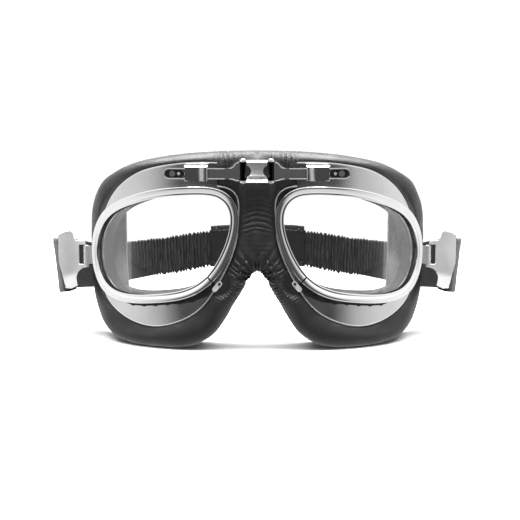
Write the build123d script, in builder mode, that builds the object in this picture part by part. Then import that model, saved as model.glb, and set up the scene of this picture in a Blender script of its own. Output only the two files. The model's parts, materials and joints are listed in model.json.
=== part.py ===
"""Motorcycle goggles: two framed lenses on leather face pads, hinged at the nose, on a strap.

All sizes are in millimetres. +Z is up and -Y is the front. The goggles stand on the lower
edge of their pads, at z = 0, with the origin under the middle of the whole strap loop.
"Right" is +X, as seen from the front. Every right-hand piece has a mirror image on the left.
"Depth" is measured straight back from the front of the lenses, which stand at y = FRONT.
"""

import os
from math import asin, cos, degrees, hypot, radians, sin, sqrt

from build123d import *

os.makedirs("parts", exist_ok=True)

# ---- Driving dimensions ---------------------------------------------------------------

FRONT = -73.86  # y of the front of the lenses
FACE_TOP = 107.2  # top of the leather
STRAP_BACK = 151.6  # depth of the back of the strap loop

LENS_RADIUS = 83.0  # front surface of the cylindrical lens, about a vertical axis
LENS_THICKNESS = 1.6
LENS_AXIS_X = 21.0  # sideways place of that axis
LENS_AXIS_Y = FRONT + LENS_RADIUS

RIM_RADIUS = 84.0  # the radius at which outlines round the lens are laid out
RIM_WIDTH = 4.8  # width of the rim's band
RIM_WALL = 1.2  # thickness of its outer wall
RIM_LIP = (83.1, 84.6)  # radii of its front lip
FIT = 0.1  # gap between the layers clamped round the lens
OVERLAP = 1.0  # how far a cutting or joining shape runs past the piece it works on

SHEET = (78.3, 79.5)  # radii of the stamped eye frame
CUP = (72.5, 78.2)  # radii of the clamp ring inside it
PAD_FRONT = 78.0  # radius to which the face pad reaches, behind the eye frame
LINING = 1.0  # thickness of the pad's lining

FACE_RADIUS = 110.0  # the wearer's face, as a cylinder about a vertical axis
FACE_AXIS_DEPTH = 142.0
SEAM_X = 9.0  # where the right-hand pad meets the nose leather
SEAM_GAP = 0.3

BRIDGE_TILT = 10.5  # degrees by which each bridge arm leans back towards the temple
ARM_BACK = 79.9  # distance of the arm's back from the lens axis
ARM_THICKNESS = 1.2
ARM_HEIGHT = 5.9
ARM_Z = 96.35
ARM_EDGE = 0.5  # height and width of the raised edge round the arm
HINGE_AT = -28.7  # place of the hinge along the arm; 0 is where the arm touches the frame
PIN_RADIUS = 0.8
PIN_CLEARANCE = 0.07
KNUCKLE = (92.6, 102.6)  # heights between which the arm's knuckle stands
LINK = (91.6, 103.8)  # heights of the link's lower and upper face
SLIDE = 2.0  # travel of the arm in its keeper, each way

LEG_X = 98.5  # the strap hook's upright leg
LEG_DEPTH = 47.0
LEG_RADIUS = 1.02
LUG = (43.3, 53.7)  # heights of the curled lug that holds the leg

STRAP_HALF_WIDTH = 119.1  # outside of the strap loop at the temples
STRAP_SIDE_DEPTH = 54.0  # depth at which the loop is widest

# Middle of the rim's band, front view, clockwise from the top at the nose.
RIM_LINE = [
    (30.0, 87.2), (52.5, 85.8), (68.0, 82.1), (82.5, 75.3), (91.0, 64.0), (93.6, 51.0),
    (91.0, 38.5), (84.0, 30.2), (72.0, 27.2), (55.0, 28.3), (38.5, 31.6), (26.0, 39.3),
    (17.0, 52.5), (12.2, 68.0), (13.6, 79.2), (19.8, 85.3),
]

# Edge of the stamped eye frame, front view, from its upper corner at the nose round the
# temple and back up the nose. A straight edge joins the last point to the first.
FRAME_LINE = [
    (21.5, 102.4), (38.8, 102.2), (58.3, 99.6), (70.1, 95.6), (81.6, 87.4), (89.5, 76.0),
    (93.4, 64.0), (94.4, 50.0), (93.6, 36.0), (89.2, 25.0), (81.0, 18.0), (70.0, 13.5),
    (58.0, 12.2), (47.0, 14.4), (36.6, 19.0), (28.0, 26.2), (20.6, 36.8), (13.6, 50.0),
    (9.9, 63.0), (9.0, 75.0), (9.6, 83.0), (12.8, 87.3), (17.1, 89.3), (21.5, 90.0),
]

# Edge of the right-hand face pad, front view, from the seam over the brow and round the
# cheek back to the seam. It dips a little under the floor, which cuts its resting flat.
PAD_LINE = [
    (SEAM_X, 107.2), (31.0, 106.6), (48.0, 105.0), (65.5, 101.8), (78.5, 96.9), (88.6, 89.5),
    (95.0, 77.3), (97.5, 60.0), (97.3, 42.0), (94.6, 26.0), (89.9, 12.5), (82.0, 3.6),
    (70.0, 0.4), (57.0, -0.4), (44.0, 0.2), (32.0, 2.8), (21.5, 10.6), (14.0, 23.2),
    (SEAM_X, 32.0),
]

# Half of the notch over the nose, front view, from the seam to its top.
NOTCH_LINE = [(8.7, 32.6), (6.6, 36.4), (3.8, 40.3), (0.0, 42.7)]


# ---- The lens wall ----------------------------------------------------------------------


def laid_out(outline):
    """Front-view points as (distance round the lens wall, height)."""
    return [(RIM_RADIUS * asin((x - LENS_AXIS_X) / RIM_RADIUS), z) for x, z in outline]


def grown(outline, distance):
    """A closed laid-out outline, moved outward by a distance square to its own edge."""
    moved = []
    for index, (along, height) in enumerate(outline):
        before = outline[index - 1]
        after = outline[(index + 1) % len(outline)]
        step = (after[0] - before[0], after[1] - before[1])
        length = hypot(*step)
        moved.append((along - step[1] / length * distance, height + step[0] / length * distance))
    return moved


def front_view(outline, radius):
    """Laid-out points as they stand on a wall of this radius, seen from the front."""
    return [(LENS_AXIS_X + radius * sin(along / RIM_RADIUS), height) for along, height in outline]


def skin(outline, radius, closed=True):
    """The face inside an outline on the wall of this radius about the lens axis."""
    points = front_view(outline, radius)
    with BuildPart() as plug:
        with BuildSketch(Plane.XZ.offset(-LENS_AXIS_Y)):
            with BuildLine():
                Spline(*points, periodic=closed)
                if not closed:
                    Line(points[-1], points[0])
            make_face()
        extrude(amount=2 * LENS_RADIUS)
        with Locations((LENS_AXIS_X, LENS_AXIS_Y, FACE_TOP / 2)):
            Cylinder(radius, 2 * FACE_TOP, mode=Mode.INTERSECT)
    return plug.faces().filter_by(GeomType.CYLINDER)[0]


def ring(inner, outer, radii):
    """A band between two closed outlines, with its walls square to the lens surface."""
    low, high = radii
    with BuildPart() as band:
        thicken(skin(outer, low), amount=high - low)
        thicken(skin(inner, low - OVERLAP), amount=high - low + 2 * OVERLAP, mode=Mode.SUBTRACT)
    return band.part


def round_lens_axis(radius, height=2 * FACE_TOP):
    """A post about the right-hand lens axis."""
    with BuildPart() as post:
        with Locations((LENS_AXIS_X, LENS_AXIS_Y, FACE_TOP / 2)):
            Cylinder(radius, height)
    return post.part


def wall_plane(x, z, radius):
    """A plane square to the lens surface: local z points out of the lens, local y is up."""
    turn = asin((x - LENS_AXIS_X) / radius)
    out = (sin(turn), -cos(turn), 0)
    origin = (x, LENS_AXIS_Y - radius * cos(turn), z)
    return Plane(origin=origin, x_dir=(cos(turn), sin(turn), 0), z_dir=out)


def save(part, name):
    """Label a piece and write it."""
    part.label = name
    export_step(part, f"parts/{name}.step")


def save_pair(right, name):
    """Write a right-hand piece and its mirror image."""
    save(right, f"{name}_right")
    with BuildPart() as left:
        mirror(right, about=Plane.YZ)
    save(left.part, f"{name}_left")


rim_line = laid_out(RIM_LINE)

# ---- Lens, rim and gasket ---------------------------------------------------------------

GASKET_INSIDE = -1.9  # growth of the rim's middle line to the gasket's inner edge

lens_edge = grown(rim_line, RIM_WIDTH / 2 - RIM_WALL - 2 * FIT)
lens_back = LENS_RADIUS - LENS_THICKNESS
rim_back = SHEET[1] + FIT

with BuildPart() as lens:
    thicken(skin(lens_edge, lens_back), amount=LENS_THICKNESS)
save_pair(lens.part, "lens")

with BuildPart() as lens_gasket:
    add(ring(grown(rim_line, GASKET_INSIDE), lens_edge, (rim_back, lens_back - FIT)))
save_pair(lens_gasket.part, "lens_gasket")

# The rim is a channel, open at the back, and split under its clasp.
CLASP_X = 21.6
CLASP_Z = 35.4
CLASP_LEAN = 131.0  # degrees from level to the clasp's length, which follows the rim
SPLIT = 0.8
clasp_level = wall_plane(CLASP_X, CLASP_Z, SHEET[1])
clasp_plane = Plane(
    origin=clasp_level.origin,
    x_dir=clasp_level.x_dir.rotate(Axis((0, 0, 0), clasp_level.z_dir), CLASP_LEAN),
    z_dir=clasp_level.z_dir,
)

with BuildPart() as lens_rim:
    thicken(skin(grown(rim_line, RIM_WIDTH / 2), rim_back), amount=RIM_LIP[1] - rim_back)
    groove = grown(rim_line, RIM_WIDTH / 2 - RIM_WALL)
    groove_depth = RIM_LIP[0] - rim_back + OVERLAP
    thicken(skin(groove, rim_back - OVERLAP), amount=groove_depth, mode=Mode.SUBTRACT)
    mouth = grown(rim_line, -RIM_WIDTH / 2)
    mouth_depth = RIM_LIP[1] - rim_back + 2 * OVERLAP
    thicken(skin(mouth, rim_back - OVERLAP), amount=mouth_depth, mode=Mode.SUBTRACT)
    with BuildSketch(clasp_plane):
        with Locations((0, -RIM_WIDTH)):
            Rectangle(SPLIT, 3 * RIM_WIDTH)
    extrude(amount=2 * RIM_WIDTH, mode=Mode.SUBTRACT)
save_pair(lens_rim.part, "lens_rim")

# ---- Eye frame, clamp ring and vents -----------------------------------------------------

WINDOW = -1.4  # growth of the rim's middle line to the edge of the eye frame's window
CLAMP_RING = (-1.6, 0.4)  # growth to the clamp ring's inner and outer edge
VENT_RADIUS = 0.9
VENT_GROWTH = 2.8  # growth to the middle of the vents, half hidden by the rim
VENT_TOP = 45.0  # the vents are all below this height
VENT_XS = (26.2, 31.0, 35.8, 43.0, 50.3, 58.3, 65.8)
frame_line = laid_out(FRAME_LINE)
vent_line = [point for point in front_view(grown(rim_line, VENT_GROWTH), SHEET[1]) if point[1] < VENT_TOP]


def height_at(line, x):
    """Height of a line of front-view points at x."""
    for start, end in zip(line, line[1:]):
        if min(start[0], end[0]) <= x <= max(start[0], end[0]):
            share = (x - start[0]) / (end[0] - start[0])
            return start[1] + share * (end[1] - start[1])
    raise ValueError(f"the line doesn't reach x = {x}")


with BuildPart() as eye_frame:
    thicken(skin(frame_line, SHEET[0], closed=False), amount=SHEET[1] - SHEET[0])
    window = skin(grown(rim_line, WINDOW), SHEET[0] - OVERLAP)
    thicken(window, amount=SHEET[1] - SHEET[0] + 2 * OVERLAP, mode=Mode.SUBTRACT)
    for vent_x in VENT_XS:
        with BuildSketch(wall_plane(vent_x, height_at(vent_line, vent_x), SHEET[1])):
            Circle(VENT_RADIUS)
        extrude(amount=2 * OVERLAP, both=True, mode=Mode.SUBTRACT)
save_pair(eye_frame.part, "eye_frame")

with BuildPart() as clamp_ring:
    add(ring(grown(rim_line, CLAMP_RING[0]), grown(rim_line, CLAMP_RING[1]), CUP))
save_pair(clamp_ring.part, "clamp_ring")

# ---- Face pad and its lining -------------------------------------------------------------

# The cup narrows towards the face on the temple side, along a slanted wall.
CUP_SLANT = ((92.0, 43.0), (77.0, 62.0))  # two points of that wall in plan, as x and depth
HOLE_GROWTH = 1.0  # growth of the rim's middle line to the edge of the cup's hole
slant_start, slant_end = CUP_SLANT
slant_run = (slant_end[0] - slant_start[0], slant_end[1] - slant_start[1])


def cup_hole(growth, inset):
    """The space inside the cup, right through the pad."""
    origin = (slant_start[0] - inset, FRONT + slant_start[1], 0)
    wall = Plane(origin=origin, x_dir=(*slant_run, 0), z_dir=(slant_run[1], -slant_run[0], 0))
    with BuildPart() as hole:
        with BuildSketch(Plane.XZ.offset(-FRONT)):
            with BuildLine():
                Spline(*front_view(grown(rim_line, growth), CUP[1]), periodic=True)
            make_face()
        extrude(amount=-STRAP_BACK / 2)
        split(bisect_by=wall, keep=Keep.BOTTOM)
    return hole.part


def face_post():
    """The wearer's face."""
    with BuildPart() as face:
        with Locations((0, FRONT + FACE_AXIS_DEPTH, FACE_TOP / 2)):
            Cylinder(FACE_RADIUS, 2 * FACE_TOP)
    return face.part


with BuildPart() as face_pad:
    with BuildSketch(Plane.XZ.offset(-FRONT)):
        with BuildLine():
            Spline(*PAD_LINE)
            Line(PAD_LINE[-1], PAD_LINE[0])
        make_face()
    extrude(amount=-STRAP_BACK)
    add(round_lens_axis(PAD_FRONT), mode=Mode.INTERSECT)
    add(face_post(), mode=Mode.SUBTRACT)
    add(cup_hole(HOLE_GROWTH, 0), mode=Mode.SUBTRACT)
    split(bisect_by=Plane.XY, keep=Keep.TOP)
save_pair(face_pad.part, "face_pad")

with BuildPart() as pad_lining:
    add(cup_hole(HOLE_GROWTH, 0))
    add(cup_hole(HOLE_GROWTH - LINING, LINING), mode=Mode.SUBTRACT)
    add(round_lens_axis(CUP[0] - FIT), mode=Mode.INTERSECT)
    add(face_post(), mode=Mode.SUBTRACT)
save_pair(pad_lining.part, "pad_lining")

# ---- Nose leather ------------------------------------------------------------------------

NOSE_DEPTH = (8.2, 30.0)

with BuildPart() as nose_leather:
    with BuildSketch(Plane.XZ.offset(-FRONT - NOSE_DEPTH[0])):
        with BuildLine():
            notch = Spline(*NOTCH_LINE, tangents=[(-0.6, 1), (-1, 0)])
            Polyline(notch @ 0, (SEAM_X - SEAM_GAP, FACE_TOP), (0, FACE_TOP), notch @ 1)
        make_face()
        mirror(about=Plane.YZ)
    extrude(amount=NOSE_DEPTH[0] - NOSE_DEPTH[1])
save(nose_leather.part, "nose_leather")

# ---- Bridge: link, hinge pins, arms and keepers ------------------------------------------

tilt = radians(BRIDGE_TILT)
arm_out = (sin(tilt), -cos(tilt), 0)
arm_plane = Plane(
    origin=(LENS_AXIS_X + ARM_BACK * arm_out[0], LENS_AXIS_Y + ARM_BACK * arm_out[1], ARM_Z),
    x_dir=(cos(tilt), sin(tilt), 0),
    z_dir=arm_out,
)
pin_at = arm_plane.from_local_coords((HINGE_AT, 0, ARM_THICKNESS / 2))
pin_x, pin_y = pin_at.X, pin_at.Y

EAR_RADIUS = 1.8
EAR_THICKNESS = 1.0
LIP_HALF_WIDTH = 5.5
LIP_HEIGHT = 1.6
LIP_BEVEL = 1.1  # on each lip's upper front edge
LIP_REACH = (0.9, 2.5)  # how far the lips reach behind and in front of the pins
BEAD = (94.6, 95.5)  # heights of the bead across the web
BEAD_HALF_WIDTH = 4.2
BEAD_REACH = 1.7
WEB_THICKNESS = 1.4
WEB_INSET = 0.1
WEB_NOTCH = 3.2
WEB_NOTCH_X = 6.4
link_middle = (LINK[0] + LINK[1]) / 2

with BuildPart() as bridge_link:
    # The two ears, one above and one below the knuckles.
    for ear_bottom in (LINK[0], LINK[1] - EAR_THICKNESS):
        with BuildSketch(Plane.XY.offset(ear_bottom)):
            with Locations((0, pin_y)):
                SlotCenterToCenter(2 * pin_x, 2 * EAR_RADIUS)
        extrude(amount=EAR_THICKNESS)
    # The upright web is waisted to clear the knuckles.
    with BuildSketch(Plane.XZ.offset(-pin_y - WEB_THICKNESS / 2)):
        with Locations((0, link_middle)):
            Rectangle(2 * (LIP_HALF_WIDTH - WEB_INSET), LINK[1] - LINK[0])
        with Locations((WEB_NOTCH_X, link_middle), (-WEB_NOTCH_X, link_middle)):
            Circle(WEB_NOTCH, mode=Mode.SUBTRACT)
    extrude(amount=WEB_THICKNESS)
    # Its thick upper and lower lips stand forward, with their upper front edges bevelled.
    lip_back = pin_y + LIP_REACH[0]
    lip_front = pin_y - LIP_REACH[1]
    for low in (LINK[0], LINK[1] - LIP_HEIGHT):
        high = low + LIP_HEIGHT
        with BuildSketch(Plane.YZ):
            with BuildLine():
                Polyline(
                    (lip_back, low), (lip_front, low), (lip_front, high - LIP_BEVEL),
                    (lip_front + LIP_BEVEL, high), (lip_back, high), close=True,
                )
            make_face()
        extrude(amount=LIP_HALF_WIDTH, both=True)
    # A bead runs across under the waist.
    with BuildSketch(Plane.XY.offset(BEAD[0])):
        with Locations((0, pin_y - BEAD_REACH / 2)):
            Rectangle(2 * BEAD_HALF_WIDTH, BEAD_REACH)
    extrude(amount=BEAD[1] - BEAD[0])
    for side in (-1, 1):
        with BuildSketch(Plane.XY.offset(LINK[0])):
            with Locations((side * pin_x, pin_y)):
                Circle(PIN_RADIUS)
        extrude(amount=LINK[1] - LINK[0], mode=Mode.SUBTRACT)
save(bridge_link.part, "bridge_link")

PIN_HEAD_RADIUS = 1.25
PIN_HEAD_HEIGHT = 0.5
PIN_HEAD_BEVEL = 0.3

with BuildPart() as hinge_pin:
    with BuildSketch(Plane.XY.offset(LINK[0])):
        with Locations((pin_x, pin_y)):
            Circle(PIN_RADIUS)
    extrude(amount=LINK[1] - LINK[0])
    for head_bottom in (LINK[0] - PIN_HEAD_HEIGHT, LINK[1]):
        with BuildSketch(Plane.XY.offset(head_bottom)):
            with Locations((pin_x, pin_y)):
                Circle(PIN_HEAD_RADIUS)
        extrude(amount=PIN_HEAD_HEIGHT)
    ends = hinge_pin.edges().filter_by(GeomType.CIRCLE).sort_by(Axis.Z)
    chamfer([ends[0], ends[-1]], PIN_HEAD_BEVEL)
save_pair(hinge_pin.part, "hinge_pin")

ARM_END = 14.9
POCKET = (3.4, 14.1)  # from and to along the arm
POCKET_HEIGHT = 4.4
POCKET_DEPTH = 0.6
SLOT = (3.3, 13.4)
SLOT_HEIGHT = 2.1
FLARE_AT = -21.5
FLARE_RUN = 2.4  # length of its slanted edges
KNUCKLE_RADIUS = 1.3
arm_round = ARM_END - ARM_HEIGHT / 2

with BuildPart() as bridge_arm:
    with BuildSketch(arm_plane) as arm_shape:
        with BuildLine():
            half = ARM_HEIGHT / 2
            foot = KNUCKLE[0] - ARM_Z
            head = KNUCKLE[1] - ARM_Z
            bar = Polyline((FLARE_AT, half), (arm_round, half))
            ThreePointArc(bar @ 1, (ARM_END, 0), (arm_round, -half))
            Polyline(
                (arm_round, -half), (FLARE_AT, -half), (FLARE_AT - FLARE_RUN, foot), (HINGE_AT, foot),
                (HINGE_AT, head), (FLARE_AT - FLARE_RUN, head), (FLARE_AT, half),
            )
        make_face()
    extrude(amount=ARM_THICKNESS)
    # Raised edge round the bar.
    with BuildSketch(arm_plane.offset(ARM_THICKNESS)):
        with Locations(((FLARE_AT + arm_round) / 2, 0)):
            Rectangle(arm_round - FLARE_AT, ARM_HEIGHT)
            Rectangle(arm_round - FLARE_AT, ARM_HEIGHT - 2 * ARM_EDGE, mode=Mode.SUBTRACT)
        with Locations((arm_round, 0)):
            Circle(ARM_HEIGHT / 2)
            Circle(ARM_HEIGHT / 2 - ARM_EDGE, mode=Mode.SUBTRACT)
        with Locations(((FLARE_AT + arm_round) / 2, 0)):
            Rectangle(arm_round - FLARE_AT, ARM_HEIGHT - 2 * ARM_EDGE, mode=Mode.SUBTRACT)
    extrude(amount=ARM_EDGE)
    # Pocket for the screw's head, and the slot through its floor.
    with BuildSketch(arm_plane.offset(ARM_THICKNESS)):
        with Locations(((POCKET[0] + POCKET[1]) / 2, 0)):
            SlotOverall(POCKET[1] - POCKET[0], POCKET_HEIGHT)
    extrude(amount=-POCKET_DEPTH, mode=Mode.SUBTRACT)
    with BuildSketch(arm_plane):
        with Locations(((SLOT[0] + SLOT[1]) / 2, 0)):
            SlotOverall(SLOT[1] - SLOT[0], SLOT_HEIGHT)
    extrude(amount=ARM_THICKNESS, mode=Mode.SUBTRACT)
    with BuildSketch(Plane.XY.offset(KNUCKLE[0])):
        with Locations((pin_x, pin_y)):
            Circle(KNUCKLE_RADIUS)
    extrude(amount=KNUCKLE[1] - KNUCKLE[0])
    with BuildSketch(Plane.XY.offset(KNUCKLE[0])):
        with Locations((pin_x, pin_y)):
            Circle(PIN_RADIUS + PIN_CLEARANCE)
    extrude(amount=KNUCKLE[1] - KNUCKLE[0], mode=Mode.SUBTRACT)
save_pair(bridge_arm.part, "bridge_arm")

KEEPER = (-9.6, 3.1)  # from and to along the arm
KEEPER_FRONT = 2.75
KEEPER_INSIDE = 1.95
KEEPER_TOP = 100.9
KEEPER_BOTTOM = 92.3
KEEPER_GAP = 0.3  # above and below the arm
KEEPER_TOP_BEVEL = 1.0
KEEPER_BEVEL = 0.4
keeper_height = KEEPER_TOP - KEEPER_BOTTOM
keeper_middle = (KEEPER_TOP + KEEPER_BOTTOM) / 2 - ARM_Z

with BuildPart() as arm_keeper:
    with BuildSketch(arm_plane.offset(-OVERLAP)):
        with Locations(((KEEPER[0] + KEEPER[1]) / 2, keeper_middle)):
            Rectangle(KEEPER[1] - KEEPER[0], keeper_height)
    extrude(amount=KEEPER_FRONT + OVERLAP)
    forward = Axis((0, 0, 0), arm_out)
    top_edge = arm_keeper.faces().sort_by(forward)[-1].edges().sort_by(Axis.Z)[-1]
    chamfer(top_edge, KEEPER_TOP_BEVEL)
    other_edges = arm_keeper.faces().sort_by(forward)[-1].edges().sort_by(Axis.Z)[:-1]
    chamfer(other_edges, KEEPER_BEVEL)
    with BuildSketch(arm_plane.offset(-OVERLAP)):
        with Locations(((KEEPER[0] + KEEPER[1]) / 2, 0)):
            Rectangle(KEEPER[1] - KEEPER[0] + OVERLAP, ARM_HEIGHT + 2 * KEEPER_GAP)
    extrude(amount=KEEPER_INSIDE + OVERLAP, mode=Mode.SUBTRACT)
    add(round_lens_axis(SHEET[1]), mode=Mode.SUBTRACT)
save_pair(arm_keeper.part, "arm_keeper")

SCREW_AT = 9.9
SCREW_HEAD = (0.75, 1.75)  # back and front of the head, in front of the arm's back
SCREW_HEAD_RADIUS = 1.7
SCREW_RADIUS = 0.9
DRIVER_SLOT = (0.45, 0.4)  # width and depth
DRIVER_SLOT_TURN = 35  # degrees from level

with BuildPart() as adjuster_screw:
    with BuildSketch(arm_plane.offset(-OVERLAP)):
        with Locations((SCREW_AT, 0)):
            Circle(SCREW_RADIUS)
    extrude(amount=SCREW_HEAD[0] + OVERLAP)
    with BuildSketch(arm_plane.offset(SCREW_HEAD[0])):
        with Locations((SCREW_AT, 0)):
            Circle(SCREW_HEAD_RADIUS)
    extrude(amount=SCREW_HEAD[1] - SCREW_HEAD[0])
    with BuildSketch(arm_plane.offset(SCREW_HEAD[1])):
        with Locations(Location((SCREW_AT, 0), DRIVER_SLOT_TURN)):
            Rectangle(2 * SCREW_HEAD_RADIUS, DRIVER_SLOT[0])
    extrude(amount=-DRIVER_SLOT[1], mode=Mode.SUBTRACT)
    add(round_lens_axis(SHEET[1]), mode=Mode.SUBTRACT)
save_pair(adjuster_screw.part, "adjuster_screw")

STUD_AT = 6.4
STUD_RADIUS = 0.85
STUD_FRONT = 1.7

with BuildPart() as guide_stud:
    with BuildSketch(arm_plane.offset(-OVERLAP)):
        with Locations((STUD_AT, 0)):
            Circle(STUD_RADIUS)
    extrude(amount=STUD_FRONT + OVERLAP)
    add(round_lens_axis(SHEET[1]), mode=Mode.SUBTRACT)
save_pair(guide_stud.part, "guide_stud")

# ---- Clasp -------------------------------------------------------------------------------

CLASP_LENGTH = 6.6
CLASP_WIDTH = 2.7
CLASP_BACK = 0.9  # in front of the eye frame
CLASP_THICKNESS = 1.1
CLASP_PIN_RADIUS = 0.6
CLASP_PIN_HEAD = (0.9, 0.4)  # radius and thickness

clasp_turn = CLASP_LENGTH / 2 - CLASP_WIDTH / 2

with BuildPart() as clasp:
    with BuildSketch(clasp_plane.offset(CLASP_BACK)):
        SlotOverall(CLASP_LENGTH, CLASP_WIDTH)
        with Locations((clasp_turn, 0)):
            Circle(CLASP_PIN_RADIUS + PIN_CLEARANCE, mode=Mode.SUBTRACT)
    extrude(amount=CLASP_THICKNESS)
save_pair(clasp.part, "clasp")

with BuildPart() as clasp_pin:
    with BuildSketch(clasp_plane.offset(FIT)):
        with Locations((clasp_turn, 0)):
            Circle(CLASP_WIDTH / 2)
        with Locations((clasp_turn, -CLASP_WIDTH / 2)):
            Rectangle(CLASP_WIDTH, CLASP_WIDTH)
    extrude(amount=CLASP_BACK - 2 * FIT)
    with BuildSketch(clasp_plane.offset(FIT)):
        with Locations((clasp_turn, 0)):
            Circle(CLASP_PIN_RADIUS)
    extrude(amount=CLASP_BACK + CLASP_THICKNESS)
    with BuildSketch(clasp_plane.offset(CLASP_BACK + CLASP_THICKNESS + FIT)):
        with Locations((clasp_turn, 0)):
            Circle(CLASP_PIN_HEAD[0])
    extrude(amount=CLASP_PIN_HEAD[1])
    rim_space = ring(
        grown(rim_line, -RIM_WIDTH), grown(rim_line, RIM_WIDTH / 2), (SHEET[0], RIM_LIP[1] + OVERLAP)
    )
    add(rim_space, mode=Mode.SUBTRACT)
save_pair(clasp_pin.part, "clasp_pin")

# ---- Strap lug at the temple ---------------------------------------------------------------

LEG_CLEARANCE = 0.08
LUG_WALL = 0.8
FOOT = (40.5, 56.5)  # heights of the foot riveted to the eye frame
FOOT_TURNS = (62.2, 66.8)  # its edges, in degrees round the lens axis
FOOT_THICKNESS = 0.9
LUG_RIVET_ZS = (42.1, 54.9)
LUG_RIVET_RADIUS = 1.0
LUG_RIVET_HEAD = 0.6  # how far its head stands up
LUG_RIVET_BEVEL = 0.25
leg_y = FRONT + LEG_DEPTH
lug_inside = LEG_RADIUS + LEG_CLEARANCE
lug_outside = lug_inside + LUG_WALL
leg_reach = hypot(LEG_X - LENS_AXIS_X, leg_y - LENS_AXIS_Y)
lug_turn = degrees(asin((LEG_X - LENS_AXIS_X) / leg_reach))
lug_spoke = Plane(
    origin=(LENS_AXIS_X, LENS_AXIS_Y, LUG[0]),
    x_dir=(sin(radians(lug_turn)), -cos(radians(lug_turn)), 0),
    z_dir=(0, 0, 1),
)

foot_back = SHEET[1] + FIT
foot_front = foot_back + FOOT_THICKNESS
foot_start = FOOT_TURNS[0] - 90
foot_sweep = FOOT_TURNS[1] - FOOT_TURNS[0]
lens_axis = (LENS_AXIS_X, LENS_AXIS_Y)

with BuildPart() as strap_lug:
    with BuildSketch(Plane.XY.offset(FOOT[0])):
        with BuildLine():
            inner_arc = CenterArc(lens_axis, foot_back, foot_start, foot_sweep)
            outer_arc = CenterArc(lens_axis, foot_front, foot_start, foot_sweep)
            Line(inner_arc @ 0, outer_arc @ 0)
            Line(inner_arc @ 1, outer_arc @ 1)
        make_face()
    extrude(amount=FOOT[1] - FOOT[0])
    with BuildSketch(lug_spoke):
        with Locations(((SHEET[1] + leg_reach) / 2, 0)):
            Rectangle(leg_reach - foot_back - FOOT_THICKNESS, LUG_WALL)
        with Locations((leg_reach, 0)):
            Circle(lug_outside)
    extrude(amount=LUG[1] - LUG[0])
    with BuildSketch(lug_spoke):
        with Locations((leg_reach, 0)):
            Circle(lug_inside)
    extrude(amount=LUG[1] - LUG[0], mode=Mode.SUBTRACT)
save_pair(strap_lug.part, "strap_lug")

foot_turn = radians(sum(FOOT_TURNS) / 2)
for height, place in zip(LUG_RIVET_ZS, ("lower", "upper")):
    rivet_plane = wall_plane(LENS_AXIS_X + foot_front * sin(foot_turn), height, foot_front)
    with BuildPart() as lug_rivet:
        with BuildSketch(rivet_plane.offset(FIT / 2)):
            Circle(LUG_RIVET_RADIUS)
        extrude(amount=LUG_RIVET_HEAD)
        head = lug_rivet.faces().sort_by(Axis((0, 0, 0), rivet_plane.z_dir))[-1]
        chamfer(head.edges(), LUG_RIVET_BEVEL)
    save_pair(lug_rivet.part, f"lug_rivet_{place}")

# ---- Strap hook ----------------------------------------------------------------------------

HOOK_THICKNESS = 1.2
HOOK_DEPTH = 47.8
HOOK_TAIL_DEPTH = 48.9  # the plate's outer end leans back to here
HOOK_HEIGHTS = (20.0, 70.0)  # the plate is cut to its outline between these heights
LEG = (41.4, 54.0)
# Edge of the plate, front view: from the inner end of its upper arm over the crossbar to the
# lower arm, which carries the leg, and back round the window.
HOOK_LINE = [
    (99.3, 56.8), (104.6, 56.8), (106.0, 58.4), (107.6, 61.8), (111.7, 61.4), (115.2, 59.4),
    (115.2, 50.0), (114.8, 43.0), (112.4, 34.4), (111.0, 29.2), (107.6, 29.0), (103.7, 30.6),
    (104.8, 35.0), (103.6, 38.6), (100.6, 40.8), (LEG_X, 41.4), (LEG_X, 43.0), (103.1, 43.0),
    (103.1, 54.4), (99.3, 54.4),
]

with BuildPart() as strap_hook:
    with BuildSketch(Plane.XY.offset(HOOK_HEIGHTS[0])):
        with BuildLine() as plate_path:
            arm_run = Line((LEG_X, leg_y), (104.0, FRONT + HOOK_DEPTH))
            Spline(
                arm_run @ 1, (110.0, FRONT + HOOK_DEPTH), (115.2, FRONT + HOOK_TAIL_DEPTH),
                tangents=[arm_run % 1, (1, 0.4)],
            )
        trace(plate_path.line, line_width=HOOK_THICKNESS)
    extrude(amount=HOOK_HEIGHTS[1] - HOOK_HEIGHTS[0])
    with BuildSketch(Plane.XZ.offset(-FRONT)):
        with BuildLine():
            Polyline(*HOOK_LINE, close=True)
        make_face()
    extrude(amount=-STRAP_BACK / 2, mode=Mode.INTERSECT)
    with BuildSketch(Plane.XY.offset(LEG[0])):
        with Locations((LEG_X, leg_y)):
            Circle(LEG_RADIUS)
    extrude(amount=LEG[1] - LEG[0])
save_pair(strap_hook.part, "strap_hook")

# ---- Strap ---------------------------------------------------------------------------------

LEATHER = (0.0, 1.8)  # layers, measured inward from the outside of the loop
ELASTIC = (2.0, 4.2)
PANEL = (1.2, 5.0)
STRAP_DEPTH = STRAP_BACK - STRAP_SIDE_DEPTH + PANEL[0]  # front-to-back half length of the loop
PANEL_HALF_WIDTH = 31.5
ELASTIC_JOIN_X = 62.0  # the two lengths of elastic meet here
FOLD_RADIUS = 3.0
FOLD_START = (105.6, 50.6)  # where the leather begins behind the hook, in plan
FOLD_RISE = 0.5  # how much deeper it is where it turns back
strap_y = FRONT + STRAP_SIDE_DEPTH
# Front views of the leather end: its fold behind the hook, and its run along the loop.
FOLD_LINE = [
    (105.0, 28.0), (105.0, 56.6), (112.0, 57.4), (119.6, 57.6), (119.6, 26.0), (112.0, 26.6),
]
LEATHER_LINE = [
    (119.6, 57.6), (110.0, 53.6), (101.0, 50.2), (84.0, 48.6), (70.0, 43.0), (61.0, 34.0),
    (66.0, 27.0), (84.0, 24.6), (102.0, 22.8), (112.0, 24.4), (119.6, 26.0),
]
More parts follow.
